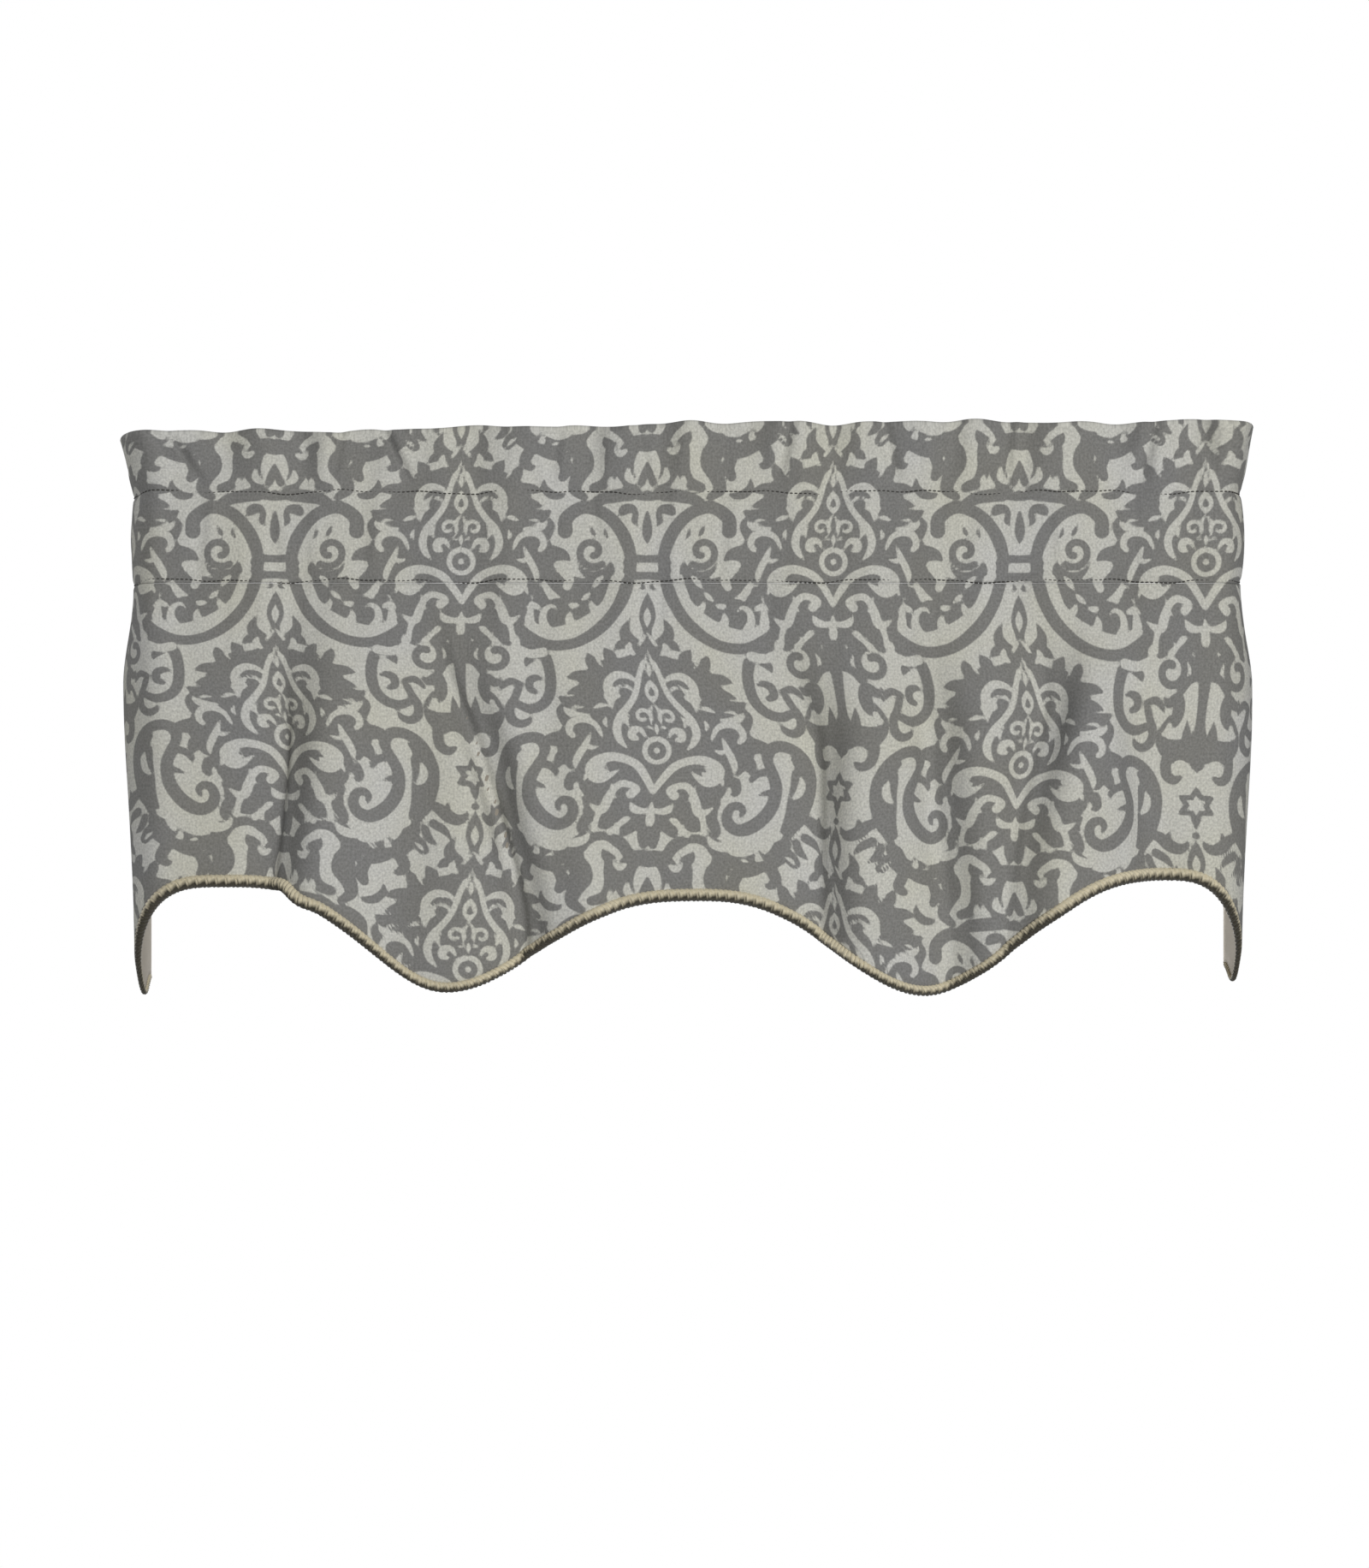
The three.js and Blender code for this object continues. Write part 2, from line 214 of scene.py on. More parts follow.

# Stage, in metres: a floor that fades out from its plain middle and has a painted glow, a dim room, and the
# camera
FLOOR_RADIUS, FLOOR_PLAIN, FLOOR_SIDES, FLOOR_GLOW = 1.3, 0.5, 64, 0.4
ROOM_COLOUR, ROOM_STRENGTH, WHITE = (0.93, 0.95, 1.0, 1), 0.12, (1, 1, 1, 1)
VIEW_FROM, VIEW_TO = (-0.0023, -2.3, -0.280), (-0.0023, 0.0, -0.2718)
VIEW_LENS, VIEW_SENSOR = 69.7, 36

# Soft lamps: name, place, what it is turned to, width and height, power
LAMPS = (
    ("key", (1.3, -4.6, 0.7), (0, 0, -0.22), (0.9, 0.9), 147),
    ("rear", (0, 1.7, -0.5), (0, 0, -0.3), (2.2, 1.0), 32),
    ("side", (-3.5, 2.0, 0.3), (-0.42, 0.05, -0.22), (1.0, 1.0), 50),
)


def smooth_step(start, end, value):
    t = np.clip((value - start) / (end - start), 0, 1)
    return t * t * (3 - 2 * t)


def blend(low, high, places, value):
    """From low to high between two places."""
    return low + (high - low) * smooth_step(*places, value)


def soft_peak(distance):
    """One at the middle, falling smoothly to nothing at a distance of one."""
    return np.where(np.abs(distance) < 1, 0.5 + 0.5 * np.cos(np.pi * np.clip(distance, -1, 1)), 0.0)


def sum_of_waves(waves, flat):
    return sum(height * np.sin(2 * np.pi * flat / length + shift) for length, height, shift in waves)


def unit(rows):
    return rows / np.linalg.norm(rows, axis=-1, keepdims=True)


def square_to(rows, tangent):
    """The part of each row that is square to the tangent, at unit length."""
    return unit(rows - tangent * np.sum(rows * tangent, axis=-1, keepdims=True))


def rod_line(along):
    """Points of the rod's centre line in plan, and the direction out of the cloth that hangs there."""
    side, reach = np.where(along < 0, -1.0, 1.0), np.abs(along)
    turn = np.clip((reach - ROD_STRAIGHT) / CORNER_RADIUS, 0, math.pi / 2)
    past = np.maximum(reach - ROD_STRAIGHT - ROD_ARC, 0)
    x = side * (np.minimum(reach, ROD_STRAIGHT) + CORNER_RADIUS * np.sin(turn))
    y = CORNER_RADIUS * (1 - np.cos(turn)) + past
    return x, y, side * np.sin(turn), -np.cos(turn)


def pucker_rows(count, shift):
    """Flat place, half width, height and reach of small puckers, even but in no order that shows."""
    rows = []
    for k in range(1, count + 1):
        at, wide, high, reach = (least + spread * ((k + shift) * step % 1.0)
                                 for step, least, spread in PUCKER_SPREADS)
        rows.append((at, wide, high if k % PUCKER_DENTS else -high, reach))
    return rows


SKIRT_PUCKERS, POCKET_PUCKERS, FRILL_PUCKERS = pucker_rows(46, 0), pucker_rows(40, 101), pucker_rows(44, 211)


def puckers(rows, flat, away):
    """Height of the puckers, with nothing at the stitch line itself and the most a little away from it."""
    away = np.maximum(away, 0)
    total = 0.0
    for at, wide, high, reach in rows:
        total = total + high * soft_peak((flat - at) / wide) * away / reach * np.exp(1 - away / reach)
    return total


def heading_creases(rows, flat, up):
    """Height of the heading's creases, "up" from nought at their foot to one at their top."""
    return sum(high * soft_peak((flat - at - lean * up) / wide) for at, lean, wide, high in rows)


def stitch_wave(flat):
    """How far the stitch lines wander up and down."""
    return sum_of_waves(STITCH_WAVES, flat)


def stitch_pinch(flat, z):
    """How far the stitches draw the cloth in."""
    return PINCH_DEPTH * sum(soft_peak((z - line - stitch_wave(flat)) / PINCH_REACH) for line in STITCH_LINES)


def skirt_stand(flat, z):
    """How far the skirt stands out from the rod's centre line."""
    depth = SKIRT_TOP - z
    stand = sum_of_waves(GATHERS, flat) * np.exp(-depth / GATHER_FADE) + puckers(SKIRT_PUCKERS, flat, depth)
    stand = stand - stitch_pinch(flat, z)
    for at, lean, left, right, rise, begin, full, keep in FOLDS + CREASES:
        grown = smooth_step(begin, full, depth) - (1 - keep) * smooth_step(full, HEM_DEPTH, depth)
        offset = flat - at - lean * (1 - smooth_step(0, LEAN_DEPTH, depth))
        stand = stand + rise * grown * soft_peak(offset / np.where(offset < 0, left, right))
    return stand


class HangingPlaces:
    """Where each flat place of the skirt hangs along the rod, at any height: folds take up cloth."""

    def __init__(self):
        self.flats = np.arange(-HALF_FLAT, HALF_FLAT + PATH_STEP / 2, PATH_STEP)
        self.heights = np.linspace(PLACES_TOP, PLACES_BOTTOM, PLACES_ROWS)
        flat, z = np.meshgrid(self.flats, self.heights)
        slope = np.diff(skirt_stand(flat, z), axis=1) / PATH_STEP
        level = np.sqrt(1 - np.minimum(np.abs(slope), STEEPEST) ** 2)
        sums = np.concatenate([np.zeros((len(self.heights), 1)), np.cumsum(level, axis=1)], axis=1)
        self.table = (2 * sums / sums[:, -1:] - 1) * HALF_ROD

    def at(self, flat, z):
        down = (self.heights[0] - z) / (self.heights[0] - self.heights[1])
        c = np.clip((flat + HALF_FLAT) / PATH_STEP, 0, len(self.flats) - LAST_CELL)
        r = np.clip(down, 0, len(self.heights) - LAST_CELL)
        i, j = r.astype(int), c.astype(int)
        a, b, t = r - i, c - j, self.table
        return (t[i, j] * (1 - a) * (1 - b) + t[i + 1, j] * a * (1 - b)
                + t[i, j + 1] * (1 - a) * b + t[i + 1, j + 1] * a * b)


PLACES = HangingPlaces()


def hem_curve(spread):
    """Height of the scallops: broad arches between rounded points."""
    inside = np.clip(spread, -HALF_FLAT, HALF_FLAT)
    at, z = np.array(HEM_POINTS, float).T
    k = np.clip(np.searchsorted(at, inside), 1, len(at) - 1)
    higher = z[k - 1] > z[k]
    arch, arch_z = np.where(higher, at[k - 1], at[k]), np.where(higher, z[k - 1], z[k])
    point, point_z = np.where(higher, at[k], at[k - 1]), np.where(higher, z[k], z[k - 1])
    away = np.abs(inside - arch) / np.abs(point - arch)
    breadth = np.select([inside < at[2], inside > at[-3]], END_BREADTHS, ARCH_BREADTH)
    kink = inside - HEM_KINK
    step = KINK_DEPTH * kink / KINK_REACH * np.exp(0.5 - 0.5 * (kink / KINK_REACH) ** 2)
    return point_z + (arch_z - point_z) * np.cos(math.pi / 2 * away ** breadth) ** 2 + step


def hem_height(flat):
    """Height of the hem at flat places: the scallops are cut to look even once the folds hang."""
    z = hem_curve(flat)
    for k in range(HEM_ROUNDS):
        z = hem_curve(FULLNESS * PLACES.at(flat, z))
    return z


def skirt_middle(flat, z):
    x, y, out_x, out_y = rod_line(PLACES.at(flat, z))
    stand = skirt_stand(flat, z)
    return np.stack([x + out_x * stand, y + out_y * stand, z], axis=-1)


def skirt_out(flat, z):
    """The level direction out of the hanging cloth's own face."""
    along = skirt_middle(flat + PATH_STEP / 2, z) - skirt_middle(flat - PATH_STEP / 2, z)
    return unit(np.stack([along[..., 1], -along[..., 0], np.zeros_like(z)], axis=-1))


def skirt_grid(columns, rows, out):
    """Flat places, heights and points of a skirt sheet's surface."""
    flat = np.linspace(-HALF_FLAT, HALF_FLAT, columns + 1)[:, None] * np.ones((1, rows + 1))
    down = np.linspace(0, 1, rows + 1)[None, :]
    z = SKIRT_TOP + (hem_height(flat) - SKIRT_TOP) * down
    return flat, z, skirt_middle(flat, z) + skirt_out(flat, z) * out


def heading_levels():
    """Rows over the heading's section: height, and turn over the crown from the front to the back."""
    up = np.linspace(HEADING_BOTTOM, -FRILL_HALF - FACE_OUT, HEADING_ROWS + 1)
    turn = np.linspace(0, math.pi, CROWN_ROWS + 2)[1:-1]
    z = np.concatenate([up, np.full(len(turn), up[-1]), up[::-1]])
    angle = np.concatenate([np.zeros(len(up)), turn, np.full(len(up), math.pi)])
    return z, angle


def heading_half_gap(flat, z):
    """Half the space between the heading's two layers: the rod pocket, and the frill's fold."""
    t = np.clip((z - POCKET_BOTTOM) / (POCKET_TOP - POCKET_BOTTOM), 0, 1)
    half = blend(POCKET_HALF, POCKET_HALF_RETURN, POCKET_NARROWS, np.abs(flat))
    frill = FRILL_HALF * smooth_step(HEADER_BOTTOM, FRILL_OPEN, z)
    return half * np.sin(math.pi * t) + frill - stitch_pinch(flat, z)


def heading_points(flat, z, angle, out):
    """Points of the heading's surface "out" from the inside of its layers."""
    raised = np.clip(1 - z / HEADER_BOTTOM, 0, None)
    slack = np.clip(np.abs(z - POCKET_MIDDLE) / POCKET_REACH, 0, 1) ** POCKET_POWER
    follow = POCKET_GATHER + (1 - POCKET_GATHER) * slack + FRILL_GATHER * smooth_step(*FRILL_GATHERS_GROW, z)
    lean = np.where(flat < 0, *CORNER_LEANS) * soft_peak((np.abs(flat) - CORNER_FLAT) / CORNER_LEAN_REACH)
    middle = sum_of_waves(GATHERS, flat) * follow + lean * raised
    middle = middle + sum_of_waves(FRILL_WAVES, flat) * smooth_step(*FRILL_WAVES_GROW, z)
    reach = heading_half_gap(flat, z) + out
    upper, lower = (z - line - stitch_wave(flat) for line in STITCH_LINES)
    pucker = np.where(upper > 0, puckers(FRILL_PUCKERS, flat, upper),
                      puckers(POCKET_PUCKERS, flat, np.minimum(-upper, lower)))
    frill_up = np.clip(upper / -STITCH_LINES[0], 0, 1)
    pocket_up = np.clip(lower / (STITCH_LINES[0] - STITCH_LINES[1]), 0, 1)
    crease = (heading_creases(FRILL_CREASES, flat, frill_up) * smooth_step(0, FRILL_CREASES_FULL, frill_up)
              + heading_creases(POCKET_CREASES, flat, pocket_up) * np.sin(math.pi * pocket_up))
    stand = middle + np.cos(angle) * reach + pucker + crease
    top = blend(TOP_LOW, TOP_HIGH, TOP_TILT, flat) + sum_of_waves(TOP_WAVES, flat)
    height = z + top * raised + np.sin(angle) * reach
    x, y, out_x, out_y = rod_line(flat / FULLNESS)
    return np.stack([x + out_x * stand, y + out_y * stand, height], axis=-1)


# The print, drawn for this part: half its repeat across as it hangs, the repeat down, where one
# medallion's ring lies, how the rows sink, and how far from a tone's edge the distance is kept
PRINT_HALF, PRINT_DOWN = 138.5, 314.0
PRINT_X, PRINT_Z, PRINT_STRETCH = -30.5, -246.5, 1.018
PRINT_SLOPE, PRINT_SINKS = 0.04, (-90, -260)
PRINT_TURNS, PRINT_REACH = (-PRINT_DOWN, 0.0, PRINT_DOWN), 6.0
SECOND_RISE = 143.0
INK, GROUND = 1, -1
STROKE_STEPS, STROKE_LEAST = 5, 0.2
STAR_AT, STAR_POINTS, STAR_SOFT, STAR_CURVE = (138.5, -25.0), 6, 0.8, 1.4
STAR_SIZES = ((INK, 14.2, 8.8), (GROUND, 7.6, 4.2))


def ink(*points):
    """A dark stroke: place across from the column's axis, place up from the ring, and half width there."""
    return INK, points


def bare(*points):
    """A stroke in the tone of the ground, with the same columns."""
    return GROUND, points


def scroll(x, y, outer, inner, start, sweep, wide, narrow, steps=14):
    """Points of a stroke that winds in from its outer radius."""
    rows = []
    for i in range(steps + 1):
        t = i / steps
        a, r = math.radians(start + sweep * t), outer + (inner - outer) * t
        rows.append((x + r * math.cos(a), y + r * math.sin(a), wide + (narrow - wide) * t))
    return rows


# One medallion and its leaves: across from its column's axis, up from its ring
MEDALLION = (
    # leaf masses
    ink((0, 70, 7), (0, 46, 20), (0, 22, 31), (0, 0, 37), (0, -16, 31)),
    ink((17, 61, 7), (31, 57, 11), (41, 50, 9.5), (46, 38, 9.5)),
    ink((40, 34, 7), (37, 18, 9), (38, 0, 9), (40, -24, 10), (39, -42, 8)),
    ink((24, 64, 6), (28, 71, 4.6), (32, 77, 0.4)),
    ink((37, 61, 6), (42, 67, 4.2), (44, 73, 0.4)),
    bare((38, 72, 1.4), (36, 66.5, 1.2), (33.5, 63, 0.4)),
    bare((22, 75, 1.2), (21.5, 70.5, 1.3), (19, 67, 0.4)),
    ink((44, 55, 5), (53, 55, 3.8), (59.5, 53.5, 1)),
    ink((46, 45, 5), (54, 43.5, 3.4), (60, 41.5, 1)),
    ink((48, 33, 7), (59, 34, 5), (66, 38, 1.4)),
    ink((44, 10, 12), (54, 14, 10), (58, 4, 12), (55, -7, 10), (48, -16, 9)),
    ink((60, 6, 8), (69, 6, 6), (76, 5, 4), (81, 1, 0.8)),
    ink((58, 16, 6), (64, 21, 4), (67, 28, 2.6), (63, 35, 0.8)),
    ink((60, -4, 7.4), (66.5, -9, 4.8), (69, -16, 1)),
    ink((50, -16, 7), (57, -22.5, 4.4), (59, -28.5, 3.2), (56, -32, 1.6)),
    ink((45, -24, 8), (43, -38, 6), (44, -44, 3.4), (46.5, -47, 1.4)),
    ink((40, -47, 5.5), (45, -54, 4.2), (47.5, -60, 3.4), (46, -64.5, 2)),
    ink((0, -20, 30), (0, -40, 16), (14, -46, 14)),
    ink((28, -46, 9), (34, -54, 6), (29, -56.5, 4.4)),
    ink((12, -53, 8), (16, -60, 4.6), (18.5, -64, 2)),
    ink((0, -56, 8), (2, -65, 6), (3.5, -72, 2.6)),
    # great lower leaf and the V that carries it
    bare((0, -31, 2.2), (6, -21, 2.8), (13, -12, 3), (22, -7.4, 3), (32, -6, 3.4), (40.5, -9, 4),
         (45, -14.5, 4.4), (42.5, -20.5, 4.6), (37, -22.5, 3.4), (31, -19.5, 2), (25.5, -15, 0.5)),
    bare((39.5, -15.5, 6.4)),
    bare((44, -18, 3.4), (48, -21.5, 1.6), (49.5, -25.5, 0.4)),
    ink((26, -12, 0.6), (31, -11.5, 2), (35.5, -14.5, 0.8)),
    # hooked lower leaf
    bare((15.5, -33.5, 3.4), (12, -30, 2.8), (16, -26.8, 2.4), (23, -26, 2.6), (28, -31, 2.6),
         (31, -38.5, 3.4), (33.5, -45.5, 3.2), (38.5, -45.5, 2.4), (44, -41.5, 0.5)),
    bare((36, -47, 2.6), (38, -54, 2), (39, -61, 2.4)),
    bare((0, -44.5, 1.4), (6, -46, 2.2), (12, -44.5, 2.8), (15, -40, 0.6)),
    bare((0, -40, 1), (0, -46, 2.4), (0.5, -53, 2.8), (1, -57, 0.8)),
    ink((0, -37, 1.6), (5, -38, 1.8), (8, -36, 0.6)),
    bare((14.5, -51.5, 1), (17.5, -53, 2.4), (22, -57.5, 1.8), (27, -62.5, 2.6)),
    # cage
    bare((21.5, 1, 0.5), (26.5, 7, 2.4), (28.5, 15, 3), (25.5, 24.5, 2.8), (19, 32.5, 2.4), (13, 41, 2.2),
         (9.5, 50, 2), (7, 59, 2), (3.2, 68, 2), (0, 78, 0.8)),
    bare((10, 52, 1), (16, 56, 2.2), (24, 56.5, 3), (30, 51.5, 3.2), (31.2, 45, 3.4), (28, 40.5, 2.8),
         (24.8, 41, 1.8)),
    bare((14.5, 45, 0.5), (17, 48, 1.5), (20.5, 47.5, 0.5)),
    bare((0, 52, 1.6), (0, 45, 5.2), (0, 39, 2.4)),
    ink((0, 47.5, 0.8), (0, 43.5, 2.4)),
    bare(*scroll(9.2, 25.5, 6.2, 2.2, 200, -330, 1.5, 1.3, 18)),
    bare((0, 35.5, 0.4), (2.6, 31.5, 1.2), (3.6, 26, 1.2), (3.4, 20, 0.5)),
    bare((0, 20, 0.4), (0, 16.5, 1.7), (0, 12.5, 0.4)),
    bare((3.4, 16.5, 0.4), (5.4, 17.6, 1.2), (7.4, 17.2, 0.4)),
    bare((8.5, 10.5, 1), (12, 15.5, 2), (17, 14.5, 3), (18, 10, 2.8), (14.5, 8.5, 1.6)),
    bare((20, 18, 0.6), (21.5, 22, 1.7), (19, 26.5, 0.6)),
    bare(*scroll(0, 0, 8.8, 8.8, 80, -200, 2.1, 1.6)),
    bare((0, 0, 2.3)),
    bare((0, 66, 0.5), (0, 61, 1.9), (0, 56.5, 0.5)),
    # hooked arms
    bare((59, 9, 2), (61.5, 12.5, 2.4), (60, 18.5, 2.6), (54.5, 21.5, 2.5), (48, 21, 2.3),
         (43, 17.8, 1.9), (40, 12, 1.4), (38.5, 8.5, 0.5)),
    bare((47, 11, 0.8), (49.6, 4, 2.2), (53.6, -4, 2.6), (56, -10.5, 2.2), (55.6, -16, 0.4)),
    bare((50, 1.5, 1.6), (45.5, 0.4, 1.6), (41, 2, 0.5)),
    bare((35, 16.5, 0.5), (36.5, 20, 1.6), (35, 24, 0.5)),
    bare((33, 33, 0.5), (38, 33, 1.8), (43.5, 30.5, 0.5)),
    bare((60, 28.5, 0.5), (56, 31, 1.3), (50, 31, 0.4)),
    # acanthus fingers
    bare((57, -35, 2), (52.5, -33, 2), (48.5, -36, 0.6)),
    bare((62, -70, 3.6), (53, -71.5, 3.4), (45.5, -69, 2.8), (42, -63.5, 0.8)),
    bare((66.5, -27, 2.4), (65, -21, 2), (61, -17.5, 1.4), (56.5, -18, 0.4)),
    # finial
    ink((0, 119, 0.4), (0, 110, 4.4), (0, 101, 6.2), (0, 91, 3.4), (0, 82, 5)),
    ink((5, 77, 5), (13, 83, 5), (16.5, 90, 3.8), (13, 100, 0.4)),
    ink((12, 80, 4), (19, 80, 3.6), (24, 76, 0.8)),
    ink((6, 72, 4), (13, 68, 4), (19, 66, 4)),
    bare((0, 108, 0.5), (0, 101, 2.8), (0, 94, 0.5)),
    bare((10.5, 73, 1.4), (14, 76.5, 2.8), (13, 80.5, 1.4)),
    bare((0, 89, 0.4), (3.6, 84, 1.4), (6.5, 80, 1.2)),
)

